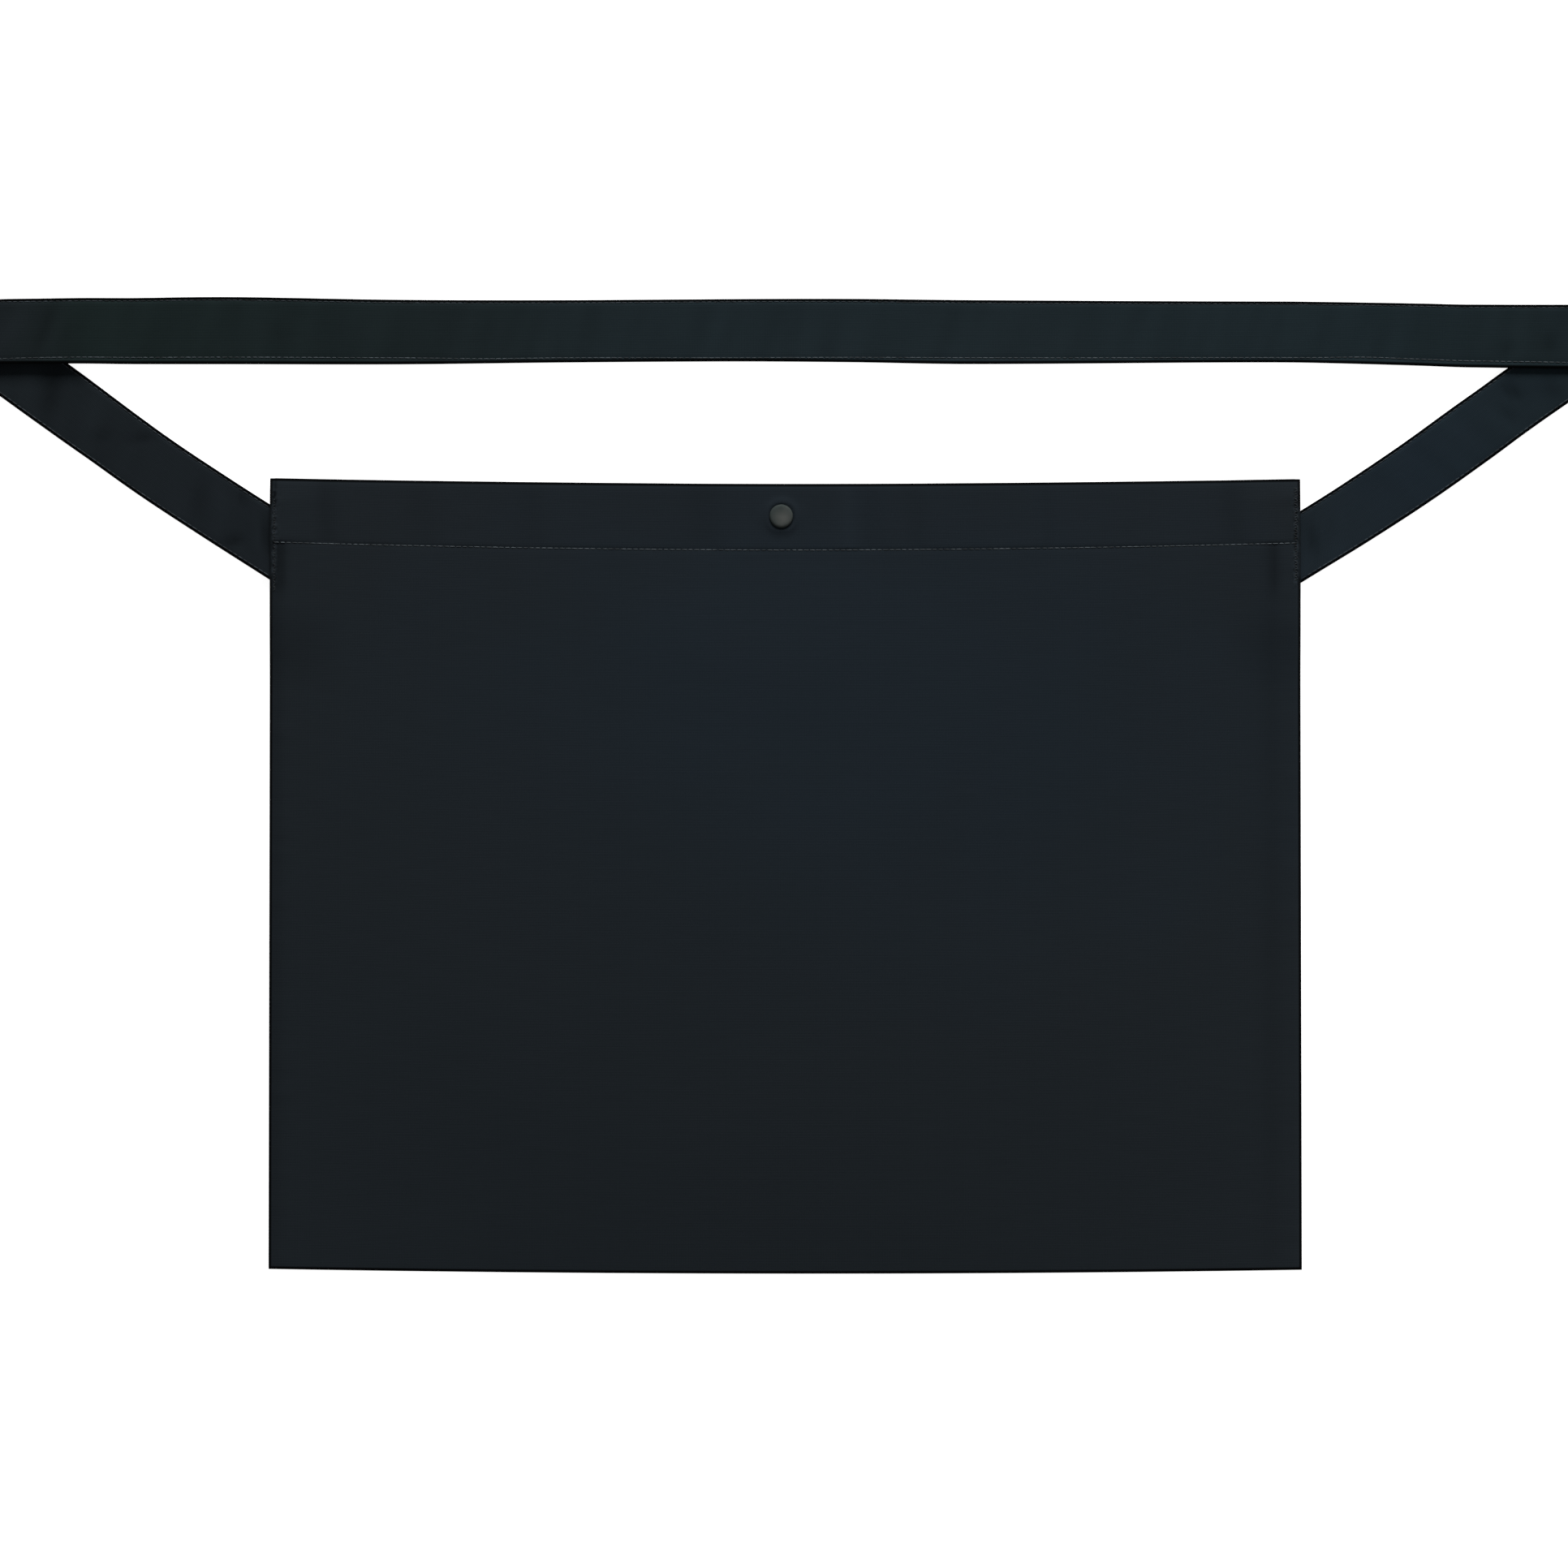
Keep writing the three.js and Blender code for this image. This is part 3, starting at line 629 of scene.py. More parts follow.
def cotton(name, colouring):
    """The cloth. colouring adds the nodes of its colour, dye and for the panels painted light, and is
    given the places that a colour can follow, on the flat cloth and in the object, and the mottle."""
    material, tree = new_material(name)
    cloth = node(tree, "ShaderNodeUVMap", uv_map="UVMap")
    flat = node(tree, "ShaderNodeSeparateXYZ", {0: cloth}).outputs
    turn = math.pi / (thread_spacing * mm)
    waves = [calc(tree, "SINE", calc(tree, "MULTIPLY", flat[k], turn)) for k in (0, 1)]
    warp_up = calc(tree, "GREATER_THAN", calc(tree, "MULTIPLY", *waves), 0.0)
    warp, weft = (calc(tree, "ABSOLUTE", wave) for wave in waves)
    crowns = []
    for own, other in ((weft, warp), (warp, weft)):
        bent = calc(tree, "MULTIPLY_ADD", other, thread_bend, 1 - thread_bend)
        crowns.append(calc(tree, "MULTIPLY", own, bent))
    weave = node(tree, "ShaderNodeMix", {0: warp_up, 2: crowns[0], 3: crowns[1]})
    stretched = node(tree, "ShaderNodeMapping", {
        "Vector": cloth,
        "Scale": (1 / (slub_size[0] * mm), 1 / (slub_size[1] * mm), 1.0),
    })
    slubs = node(tree, "ShaderNodeTexNoise", {"Vector": stretched, "Scale": 1.0, "Detail": 3.0})
    place = node(tree, "ShaderNodeTexCoord").outputs["Object"]
    mottle = cloudy(tree, place, mottle_size, 3.0, 0.55)
    colour = colouring(tree, {"flat": flat, "object": place}, mottle)
    # The shade mark is painted light and shade, multiplied into the cloth's colour
    painted_shading, sewn = (
        node(tree, "ShaderNodeAttribute", attribute_name=mark).outputs["Fac"]
        for mark in ("shade", "sewn")
    )
    speck = mapped(tree, cloudy(tree, place, speck_size, 1.0), (0.35, 0.65), speck_tones)
    shade = mapped(tree, slubs, noise_span, slub_tones)
    for share in (
        mapped(tree, weave, (0.0, 0.8), weave_shade),
        painted_shading,
        calc(tree, "MULTIPLY_ADD", speck, sewn, 1.0),
    ):
        shade = calc(tree, "MULTIPLY", shade, share)
    relief = calc(tree, "MULTIPLY_ADD", slubs, slub_relief, weave)
    surface(tree, {
        "Base Color": scaled(tree, colour, shade),
        "Roughness": mapped(tree, mottle, noise_span, cloth_roughness),
        "Specular IOR Level": 0.03,
        "Sheen Weight": 0.02,
        "Sheen Roughness": 0.4,
        "Sheen Tint": linear("#AAB4C0"),
        "Normal": bumped(tree, relief, thread_relief),
    })
    return material


# The panels' colour: greyer to the sides; bluer and a little lighter in a pool above the middle,
# partly dye and partly painted light; and a little darker low on the left, in painted shade. Each
# pool has its middle and reach, in the frame's metres, and its tone.
side_grey = "#1E2327"
dye_and_light_pools = [
    ((0.026, 0.03, 0.0), (0.17, 0.11, 1.0), "#1D242A"),
    ((-0.17, -0.17, 0.0), (0.22, 0.17, 1.0), "#1D2226"),
]
pool_ragged = 0.9  # how far the mottle moves a pool's edge, as a share of its reach
pool_fade = (0.85, 1.75)


def panel_dye_and_light(tree, places, mottle):
    colour = linear(side_grey)
    for middle, reach, tone in dye_and_light_pools:
        moved = vector_calc(tree, "SUBTRACT", places["object"], middle)
        shrunk = vector_calc(tree, "DIVIDE", moved, reach)
        away = vector_calc(tree, "LENGTH", shrunk).outputs["Value"]
        ragged = calc(tree, "MULTIPLY_ADD", mottle, pool_ragged, away)
        share = mapped(tree, ragged, pool_fade, (1.0, 0.0))
        colour = blended(tree, share, colour, linear(tone))
    return colour


panel_canvas = cotton("navy cotton canvas", panel_dye_and_light)
front_step = 2.0
# Finer rows and columns, by their distance from the stitch line, the snap's axis and the mouth
near_stitch = [0.45, 0.9, 1.5, 2.4, 4]
near_cap = [1.5, 3.0, 4.0, 4.6, 5.1, 5.6, 6.3, 7.4]
mouth_rows = [bag_height - d for d in (1.3, 1.6, 2.0, 2.6, 3.6, 5)]
front_grid = panel_grid(
    front_step,
    [snap_offset + side * d for d in near_cap for side in (-1, 1)],
    [
        *(hem_line + side * d for d in near_stitch for side in (-1, 1)),
        hem_line,
        *(snap_y + side * d for d in near_cap for side in (-1, 1)),
        *mouth_rows,
    ],
)
front = add_piece(
    "front_cloth",
    panel_mesh("front_cloth", front_point, front_grid, front_shade),
    panel_canvas,
    "panel_cotton",
    "front_panel",
)

# Back cloth. The same canvas and the same hem, cut as the front one. It lies flat on the floor,
# and only its hem rises a millimetre over the foot of the snap.
back_step = 4.0
back_groove = 0.3  # of the hem's stitches in its under face


def back_point(grid, inner):
    x, y, wall, lift = plan_of(grid, inner)
    roll = seam_radius(np.where(np.isnan(grid[4]), 0.0, grid[4]))
    rest = roll - (roll - wall) * lift
    raised = back_hem_floor * snap_hold(x, y, back_pull)
    groove = 0 if inner else back_groove * ridge(y - hem_line_at(x), groove_width)
    z = rest + raised + groove * lift
    return np.stack([*outline(x, y), z], -1), x, y


stitch_rows = [hem_line + d for d in (-2.4, -1.2, -0.6, 0, 0.6, 1.2, 2.4)]
back_grid = panel_grid(back_step, [], [*stitch_rows, *mouth_rows])
back = add_piece(
    "back_cloth",
    panel_mesh("back_cloth", back_point, back_grid, outer_shade),
    panel_canvas,
    "panel_cotton",
    "back_panel",
)

# Strap. One band of the same cotton, folded lengthwise to 25 mm and closed by a row of stitches
# along one edge. Its ends are sewn into the side seams, and it is laid out above the bag, turned
# over on itself at each side, so that the long run shows its other face.
strap_reach = {-1: 118.1, 1: 119.7}  # from a side seam out to the fold
strap_rise = {-1: 58.2, 1: 56.2}  # of the fold above the top corner
sewn_in = 10
fold_radius = 1.2
level_out, settle = 1.5, 24  # where the band starts to come down from what it lies on, and over what
station_step = 2.0
fold_steps = 14
# Along each diagonal, from the seam to the fold: share of its length, and of its climb or width
diagonal_curve = {
    -1: [(0, 0), (0.19, 0.176), (0.38, 0.358), (0.57, 0.556), (0.76, 0.755), (1, 1)],
    1: [(0, 0), (0.19, 0.173), (0.38, 0.357), (0.57, 0.556), (0.76, 0.757), (1, 1)],
}
diagonal_width = {
    -1: [(0, 0.99), (0.5, 1.0), (0.64, 1.022), (0.76, 1.028), (1, 1)],
    1: [(0, 0.955), (0.15, 0.966), (0.38, 0.982), (0.57, 0.992), (0.66, 0.98), (0.8, 0.985), (1, 1)],
}
# Along the run, from the left fold to the right one: share of its length, lift and width in bands
run_lift = [
    (0, 0), (0.09, 0.022), (0.16, 0.037), (0.26, 0.022), (0.36, 0.041),
    (0.47, 0.067), (0.54, 0.068), (0.61, 0.05), (0.79, 0.066), (0.82, 0.064), (0.89, 0.031),
    (0.92, 0.009), (1, 0),
]
run_width = [
    (0, 1), (0.09, 1.025), (0.16, 1.043), (0.26, 1.004), (0.36, 0.969),
    (0.47, 0.97), (0.54, 0.984), (0.61, 0.994), (0.79, 0.947), (0.92, 0.977), (1, 1),
]
# A diagonal's cross lines lie square to it between these shares of its length. Towards its ends
# they turn to the seam and to the fold.
square_from, square_to = 0.33, 0.69
nudge = 0.005  # share of its length over which its direction is read
half_thick = strap_thickness / 2
seam_height = hem_roll + touch + half_thick * sewn_press
fold_height = half_thick + 2 * fold_radius
lie_height = {-1: 4.4, 1: 2.6}  # of the run's middle layer where it crosses each diagonal
lie_ease, lie_margin = 14, 3  # how soon it settles there from the fold, and how far past the crossing


def through(table):
    """A smooth curve through a table's points, read at any place."""

    def slope(a, b):
        return (b[1] - a[1]) / (b[0] - a[0])

    def read(at):
        k = 0
        while k < len(table) - 2 and at > table[k + 1][0]:
            k += 1
        a, b = table[k], table[k + 1]
        span = b[0] - a[0]
        t = (at - a[0]) / span
        if t < 0:
            return a[1] + slope(a, b) * (at - a[0])
        before = slope(table[max(0, k - 1)], b)
        after = slope(a, table[min(len(table) - 1, k + 2)])
        return (
            a[1] * (1 + 2 * t) * (1 - t) ** 2
            + b[1] * t * t * (3 - 2 * t)
            + span * t * (1 - t) * (before * (1 - t) - after * t)
        )

    return read


def square_to_path(direction):
    """The cross line that lies square to the band's direction."""
    line = Vector((-direction.y, direction.x)).normalized()
    return -line if line.y < 0 else line


def half_span(width, line, direction):
    """Half the band's width, measured along a cross line that may be slanted."""
    return width / 2 / abs(line.dot(square_to_path(direction)))


class Fold:
    """Where the band turns over at one side, with +x outwards."""

    def __init__(self, side):
        self.side = side
        climb = strap_entry[side] + strap_rise[side]
        near = diagonal_curve[side][-2]
        self.angle = math.atan((1 - near[1]) * climb / ((1 - near[0]) * strap_reach[side]))
        lean = self.angle / 2
        self.crease = Vector((-math.sin(lean), math.cos(lean)))
        self.outward = Vector((math.cos(lean), math.sin(lean)))
        self.drift = math.tan(lean) * math.pi * fold_radius
        self.seam = Vector(outline(half_width, bag_height - strap_entry[side]))
        self.top = Vector((half_width + strap_reach[side], bag_height + strap_rise[side]))
        self.low = self.top - self.crease * self.drift
        self.overlap = strap_width * (1 + 1 / math.cos(self.angle)) / (2 * math.tan(self.angle))


# Each station along the band has its middle, its cross line, its face's normal and its half width.


def diagonal_stations(fold):
    climb_at, width_at = through(diagonal_curve[fold.side]), through(diagonal_width[fold.side])
    run = fold.low - fold.seam
    count = int((run.x + sewn_in) / station_step)
    for s in np.linspace(-sewn_in / run.x, 1, count):
        at, ahead, behind = (
            fold.seam + Vector((run.x * p, run.y * climb_at(p))) for p in (s, s + nudge, s - nudge)
        )
        direction = ahead - behind
        line = Vector((0, 1)).lerp(square_to_path(direction), float(smooth(s / square_from)))
        line = line.lerp(fold.crease, float(smooth((s - square_to) / (1 - square_to)))).normalized()
        down = smooth((s * run.x - level_out) / settle)
        yield (
            (fold.side * at.x, at.y, mix(seam_height, half_thick, down)),
            (fold.side * line.x, line.y, 0),
            (0, 0, 1),
            half_span(width_at(s) * strap_width, line, direction),
        )


def fold_stations(fold):
    for k in range(1, fold_steps):
        turn = math.pi * k / fold_steps
        at = fold.low + fold.crease * (fold.drift * k / fold_steps)
        at += fold.outward * (fold_radius * math.sin(turn))
        height = half_thick + fold_radius * (1 - math.cos(turn))
        out = -math.sin(turn) * fold.outward
        yield (
            (fold.side * at.x, at.y, height),
            (fold.side * fold.crease.x, fold.crease.y, 0),
            (fold.side * out.x, out.y, math.cos(turn)),
            half_span(strap_width, fold.crease, Vector((-1, 0))),
        )


def run_stations(left, right):
    lift_at, width_at = through(run_lift), through(run_width)
    start, finish = Vector((-left.top.x, left.top.y)), right.top
    length = finish.x - start.x
    zones = (left.overlap + lie_margin, right.overlap + lie_margin)
    creases = (Vector((-left.crease.x, left.crease.y)), right.crease)
    for s in np.linspace(0, 1, int(length / station_step)):
        gaps = (length * s, length * (1 - s))
        line = Vector((0, 1))
        for gap, zone, crease in zip(gaps, zones, creases):
            line = line.lerp(crease, float(1 - smooth(gap / zone)))
        line.normalize()
        height = half_thick
        for side, gap, zone in zip((-1, 1), gaps, zones):
            over = mix(fold_height, lie_height[side], smooth(gap / lie_ease))
            height = max(height, mix(over, half_thick, smooth((gap - zone) / settle)))
        y = mix(start.y, finish.y, s) + lift_at(s) * strap_width
        yield (
            (start.x + length * s, y, height),
            (line.x, line.y, 0),
            (0, 0, -1),
            half_span(width_at(s) * strap_width, line, Vector((1, 0))),
        )


left_fold, right_fold = Fold(-1), Fold(1)
stations = [
    *diagonal_stations(left_fold),
    *fold_stations(left_fold),
    *run_stations(left_fold, right_fold),
    *reversed([*fold_stations(right_fold)]),
    *reversed([*diagonal_stations(right_fold)]),
]
strap_middle, strap_across, strap_face = (
    np.array([station[k] for station in stations], float) for k in range(3)
)
strap_half = np.array([station[3] for station in stations])
steps = np.linalg.norm(np.diff(strap_middle, axis=0), axis=1)
strap_along = np.concatenate([[0], np.cumsum(steps)]) - sewn_in
strap_length = strap_along[-1] - sewn_in

# Creases across the band, hollow with painted shade where they are dark and raised with painted
# light where they are light: place from the left or, below zero, from the right seam, slant, share
# of light, width, and where across the band each one is and its reach
strap_creases = [
    (2.9, 0.0, -0.42, 5.5, 1, 14), (7.0, 0.2, 0.12, 5.0, 0, 13), (16.0, 0.0, -0.25, 5.0, 9, 7),
    (10.5, -0.9, -0.32, 4.0, -8, 7), (23.0, 0.3, 0.08, 8.0, 2, 14), (35.0, 0.3, -0.12, 7.0, -2, 14),
    (71.0, -0.7, -0.24, 5.0, 6, 9), (79.0, -0.4, -0.16, 6.0, -3, 8), (88.0, 0.3, 0.06, 9.0, 0, 14),
    (106.0, 0.4, -0.3, 8.0, 0, 20), (118.0, 0.4, 0.08, 8.0, 0, 20), (132.0, 0.2, -0.12, 9.0, 0, 20),
    (152.0, 0.3, -0.14, 9.0, 4, 12), (167.0, 0.3, 0.12, 9.0, 0, 20), (179.0, 0.3, -0.2, 5.0, 0, 20),
    (188.0, 0.3, -0.1, 5.0, -3, 14), (271.0, 0.0, -0.08, 6.0, -2, 10),
    (-7.5, 0.26, -0.28, 5.0, -1, 14), (-3.0, 0.0, 0.12, 4.0, -9, 7), (-16.0, -0.2, -0.08, 6.0, 0, 14),
    (-98.4, 0.14, -0.16, 4.5, -3, 9), (-106.7, 0.27, -0.36, 5.5, 4, 10),
    (-118.0, 0.3, -0.22, 8.0, -5, 10), (-132.0, 0.3, -0.14, 8.0, 0, 16),
    (-172.0, 0.2, -0.18, 6.0, -4, 9), (-188.0, 0.2, -0.22, 6.0, -6, 9),
]
crease_depth = 1.6  # of a whole share of light, in mm
half_strap = strap_width / 2
fold_stitch = half_strap - 1.25
# How far the stitches run from the closed edge, along the band
stitch_run = [
    (0, 1.25), (145, 1.3), (175, 2.2), (204, 2.45), (316, 2.5), (357, 1.75), (383, 1.8), (450, 1.4),
    (495, 1.8), (540, 2.4), (607, 2.1), (674, 1.95), (700, 2.75), (719, 2.6), (785, 2.3),
    (810, 1.35), (945, 1.25),
]
# The band lies a little off what it rests on, uneven over some centimetres and held at its ends
lie_gap, lie_swing, lie_size, lie_stretch, lie_hold = 0.45, 0.3, 48, 1.5, 4
# It is pressed along its stitches, puckered beside those of its closed edge, and thinner sewn in
stitch_press, press_width = 0.13, 1.6
edge_pucker, edge_pucker_size, edge_pucker_width = 0.1, 5.0, 6
sewn_from, sewn_ease = 1, 8
# Its edges have an uneven painted highlight inside their painted black line, and its face has faint
# painted streaks of light and shade across, as of small creases
strap_rim, rim_mean, rim_swing, rim_size, rim_stretch = 0.22, 0.9, 1.1, 8, 2
streak_share, streak_size, streak_slant, streak_stretch = 0.11, 7, 0.3, 0.25


def stitch_line(along):
    """Where the closed edge's stitches run, across the band."""
    read = through(stitch_run)
    return np.array([read(at) for at in np.ravel(along)]).reshape(np.shape(along)) - half_strap


def creases(along, across):
    total = 0 * along
    for place, slant, share, width, middle, reach in strap_creases:
        where = place if place > 0 else strap_length + place
        line = ridge(along - where - slant * across, width)
        total = total + share * line * ridge(across - middle, reach)
    return total


def strap_lift(along, across):
    """How far the band lies off what it rests on, never below it."""
    height = lie_gap + lie_swing * wander(along, across * lie_stretch, lie_size, seed=5.2)
    height = np.maximum(0, height + crease_depth * creases(along, across))
    return height * smooth(along / lie_hold) * smooth((strap_length - along) / lie_hold)


def strap_point(across, out):
    """Points of the band for places across it and out of its middle layer, at every station."""
    place, out = np.atleast_2d(across), np.atleast_1d(out)
    along = np.broadcast_to(strap_along[:, None], (strap_along.size, place.shape[1]))
    place = np.broadcast_to(place, along.shape)
    share = (strap_half / half_strap)[:, None]
    from_stitch = place - stitch_line(strap_along)[:, None]
    rows = ridge(from_stitch, press_width) + ridge(place - fold_stitch, press_width)
    puckers = ridge(from_stitch, edge_pucker_width) * wander(along, place, edge_pucker_size, seed=7.7)
    press = stitch_press * rows + edge_pucker * puckers
    from_end = np.minimum(along, strap_length - along)
    free = smooth((from_end - sewn_from) / sewn_ease)
    thick = out[None] * (1 - press / half_thick) * mix(sewn_press, 1, free)
    points = strap_middle[:, None] + strap_across[:, None] * (place * share)[..., None]
    points = points + strap_face[:, None] * thick[..., None]
    points[..., 2] += strap_lift(along, place)
    return points


# The band's section: a face with finer steps near its edges, two turned-in lips with a groove
# between them at its closed edge, the other face, and the round fold. Distances are from an edge.
fold_side = [half_strap - d for d in (half_thick, 1.05, 1.3, 1.6, 2.0, 2.5)]
closed_side = [d - half_strap for d in (2.8, 2.5, 2.2, 1.9, 1.65, 1.4, 1.1, 0.8, 0.4)]
face_inset, face_steps = 3.3, 14
face_middle = np.linspace(half_strap - face_inset, face_inset - half_strap, face_steps)
face_row = [*fold_side, *face_middle, *closed_side]
lip = [(0.12 - half_strap, 0.68), (-half_strap, 0.42), (0.12 - half_strap, 0.15)]
lip_groove = (0.4 - half_strap, 0)
round_edge = np.radians([-67.5, -45, -22.5, 0, 22.5, 45, 67.5])
fold_centre = half_strap - half_thick
profile = [
    *((across, half_thick) for across in face_row),
    *lip,
    lip_groove,
    *((across, -out) for across, out in lip[::-1]),
    *((across, -half_thick) for across in face_row[::-1]),
    *((fold_centre + half_thick * math.cos(t), half_thick * math.sin(t)) for t in round_edge),
]
profile_across, profile_out = np.array(profile).T
strap_rings = strap_point(profile_across, profile_out)
flat_u = np.repeat(strap_along[:, None] + sewn_in, profile_across.size, 1)
under = profile_out < 0
flat_v = np.where(under, 3 * half_strap - profile_across, half_strap + profile_across)
flat_v = np.repeat(flat_v[None], strap_along.size, 0)
along_band = np.repeat(strap_along[:, None], profile_across.size, 1)
across_band = np.repeat(profile_across[None], strap_along.size, 0)
# The band's painted light and shade: black edges with a painted highlight inside, streaks and creases
rim_wander = wander(along_band, rim_stretch * across_band, rim_size, seed=9.4)
uneven_rim = rim_mean + rim_swing * rim_wander
band_edge = edge_shade(half_strap - np.abs(across_band), strap_rim * uneven_rim)
slanted = along_band - streak_slant * across_band
streaks = wander(slanted, streak_stretch * across_band, streak_size, seed=3.3)
band_shade = band_edge * (1 + streak_share * streaks) * (1 + creases(along_band, across_band))
count = profile_across.size
strap_ends = [(k, k + 1, count - 2 - k, count - 1 - k) for k in range(count // 2 - 1)]

# The band's dye, from its left end to its right one: greyer, then a greenish navy, then bluer
band_tones = [
    (0.0, "#1B2024"), (0.17, "#1A1F22"), (0.22, "#192222"), (0.36, "#1B2325"), (0.46, "#1D262A"),
    (0.6, "#1E272B"), (0.74, "#1C262A"), (0.81, "#1B2427"), (0.93, "#1C252C"), (1.0, "#1D2429"),
]
tone_wander = 0.06  # share of its length by which the mottle moves a tone


def band_dye(tree, places, mottle):
    along = calc(tree, "DIVIDE", places["flat"][0], (strap_length + 2 * sewn_in) * mm)
    uneven = calc(tree, "MULTIPLY_ADD", mottle, tone_wander, along)
    ramp = node(tree, "ShaderNodeValToRGB", {0: calc(tree, "SUBTRACT", uneven, tone_wander / 2)})
    stops = ramp.color_ramp.elements
    for at, tone in band_tones[1:-1]:
        stops.new(at)
    for stop, (at, tone) in zip(stops, band_tones):
        stop.position = at
        stop.color = linear(tone)
    return ramp


def band_line(across, out):
    """One line of points along the band, with its place across for every station."""
    return strap_point(across[:, None], [out])[:, 0]


strap_canvas = cotton("navy cotton band", band_dye)
strap = add_piece(
    "strap_cloth",
    ring_mesh("strap_cloth", strap_rings, strap_ends, (flat_u, flat_v), {"shade": band_shade}),
    strap_canvas,
    "strap_cotton",
    "strap",
)

# Stitches. Spun polyester thread in lock stitches 2.4 mm long: grey along both hems, a duller grey
# on the closed edge of the strap's outer face, and navy in its other rows. Dark navy zigzags hold
# the strap's ends in the side seams. Spun thread is dull and fuzzy, and its tone wanders.
thread_width = 0.42
stitch_pitch = 2.4
stitch_least, stitch_most = 0.78, 1.1  # share of the pitch that shows
fuzz_size, fuzz_relief, fuzz_tones = 1.2, 0.05, (0.85, 1.15)
tone_size, thread_tones = 4.5, (0.45, 1.65)  # over about two stitches


def stitch_tree():
    """A row of stitches along each line of a mesh: straight, or swinging from side to side."""
    tree = bpy.data.node_groups.new("row of stitches", "GeometryNodeTree")
    kinds = {
        "Lines": "NodeSocketGeometry",
        "Pitch": "NodeSocketFloat",
        "Swing": "NodeSocketFloat",
        "Thread": "NodeSocketFloat",
        "Share": "NodeSocketFloat",
        "Seed": "NodeSocketInt",
        "Material": "NodeSocketMaterial",
    }
    sockets = {
        name: tree.interface.new_socket(name, in_out="INPUT", socket_type=kind).identifier
        for name, kind in kinds.items()
    }
    tree.interface.new_socket("Stitches", in_out="OUTPUT", socket_type="NodeSocketGeometry")
    given = node(tree, "NodeGroupInput").outputs
    lines = node(tree, "GeometryNodeMeshToCurve", {"Mesh": given["Lines"]})
    spaced = node(tree, "GeometryNodeResampleCurve", {
        "Curve": lines, "Length": given["Pitch"],
    }, mode="LENGTH")
    tangent = node(tree, "GeometryNodeInputTangent")
    aside = vector_calc(tree, "CROSS_PRODUCT", tangent, (0, 0, 1))
    odd = calc(tree, "MODULO", node(tree, "GeometryNodeInputIndex"), 2.0)
    swing = calc(tree, "MULTIPLY", calc(tree, "SUBTRACT", odd, 0.5), given["Swing"])
    swung = node(tree, "GeometryNodeSetPosition", {
        "Geometry": spaced, "Offset": scaled(tree, aside, swing),
    })
    edges = node(tree, "GeometryNodeCurveToMesh", {"Curve": swung})
    ends = node(tree, "GeometryNodeInputMeshEdgeVertices").outputs
    along = vector_calc(tree, "SUBTRACT", ends["Position 2"], ends["Position 1"])
    kept = node(tree, "GeometryNodeCaptureAttribute", domain="EDGE")
    kept.capture_items.new("VECTOR", "Along")
    tree.links.new(edges.outputs[0], kept.inputs["Geometry"])
    tree.links.new(along.outputs[0], kept.inputs["Along"])
    points = node(tree, "GeometryNodeMeshToPoints", {"Mesh": kept.outputs["Geometry"]}, mode="EDGES")
    length = vector_calc(tree, "LENGTH", kept.outputs["Along"]).outputs["Value"]
    uneven = node(tree, "FunctionNodeRandomValue", {
        2: stitch_least, 3: stitch_most, "Seed": given["Seed"],
    }, data_type="FLOAT")
    reach = calc(tree, "MULTIPLY", length, calc(tree, "MULTIPLY", given["Share"], uneven))
    size = node(tree, "ShaderNodeCombineXYZ", {0: given["Thread"], 1: given["Thread"], 2: reach})
    turned = node(tree, "FunctionNodeAlignRotationToVector", {"Vector": kept.outputs["Along"]},
                  axis="Z")
    loop = node(tree, "GeometryNodeMeshUVSphere", {"Segments": 6, "Rings": 6, "Radius": 0.5})
    stitches = node(tree, "GeometryNodeInstanceOnPoints", {
        "Points": points, "Instance": loop, "Rotation": turned, "Scale": size,
    })
    real = node(tree, "GeometryNodeRealizeInstances", {"Geometry": stitches})
    dyed = node(tree, "GeometryNodeSetMaterial", {"Geometry": real, "Material": given["Material"]})
    node(tree, "NodeGroupOutput", {"Stitches": dyed})
    return tree, sockets


def thread(name, colour):
    """Spun polyester thread."""
    material, tree = new_material(name)
    place = node(tree, "ShaderNodeTexCoord").outputs["Object"]
    fuzz = cloudy(tree, place, fuzz_size)
    fine = mapped(tree, fuzz, noise_span, fuzz_tones)
    broad = mapped(tree, cloudy(tree, place, tone_size), (0.36, 0.64), thread_tones)
    surface(tree, {
        "Base Color": scaled(tree, linear(colour)[:3], calc(tree, "MULTIPLY", fine, broad)),
        "Roughness": 0.7,
        "Specular IOR Level": 0.2,
        "Sheen Weight": 0.1,
        "Normal": bumped(tree, fuzz, fuzz_relief, 0.5),
    })
    return material


grey_spun = thread("grey spun polyester thread", "#3C4246")
worn_spun = thread("worn grey spun polyester thread", "#383E42")
navy_spun = thread("navy spun polyester thread", "#262C31")
dark_spun = thread("dark navy spun polyester thread", "#191E22")
stitch_nodes, stitch_inputs = stitch_tree()


def sew(name, row, slot, seed, material=grey_spun, pitch=stitch_pitch, swing=0.0, share=1.0,
        width=thread_width):
    """A row of stitches along a line of points, in the bag's millimetres."""
    edges = [(k, k + 1) for k in range(len(row) - 1)]
    guide = bpy.data.meshes.new(name)
    guide.from_pydata(in_frame(row).tolist(), edges, [])
    line = bpy.data.objects.new(name + "_line", guide)
    bpy.context.scene.collection.objects.link(line)
    modifier = line.modifiers.new("stitches", "NODES")
    modifier.node_group = stitch_nodes
    values = {
        "Pitch": pitch * mm,
        "Swing": swing * mm,
        "Thread": width * mm,
        "Share": share,
        "Seed": seed,
        "Material": material,
    }
    for key, value in values.items():
        modifier[stitch_inputs[key]] = value
    seen = line.evaluated_get(bpy.context.evaluated_depsgraph_get())
    mesh = bpy.data.meshes.new_from_object(seen)
    line.modifiers.clear()
    bpy.data.objects.remove(line)
    mesh.name = name
    mesh.shade_smooth()
    return add_piece(name, mesh, material, slot)


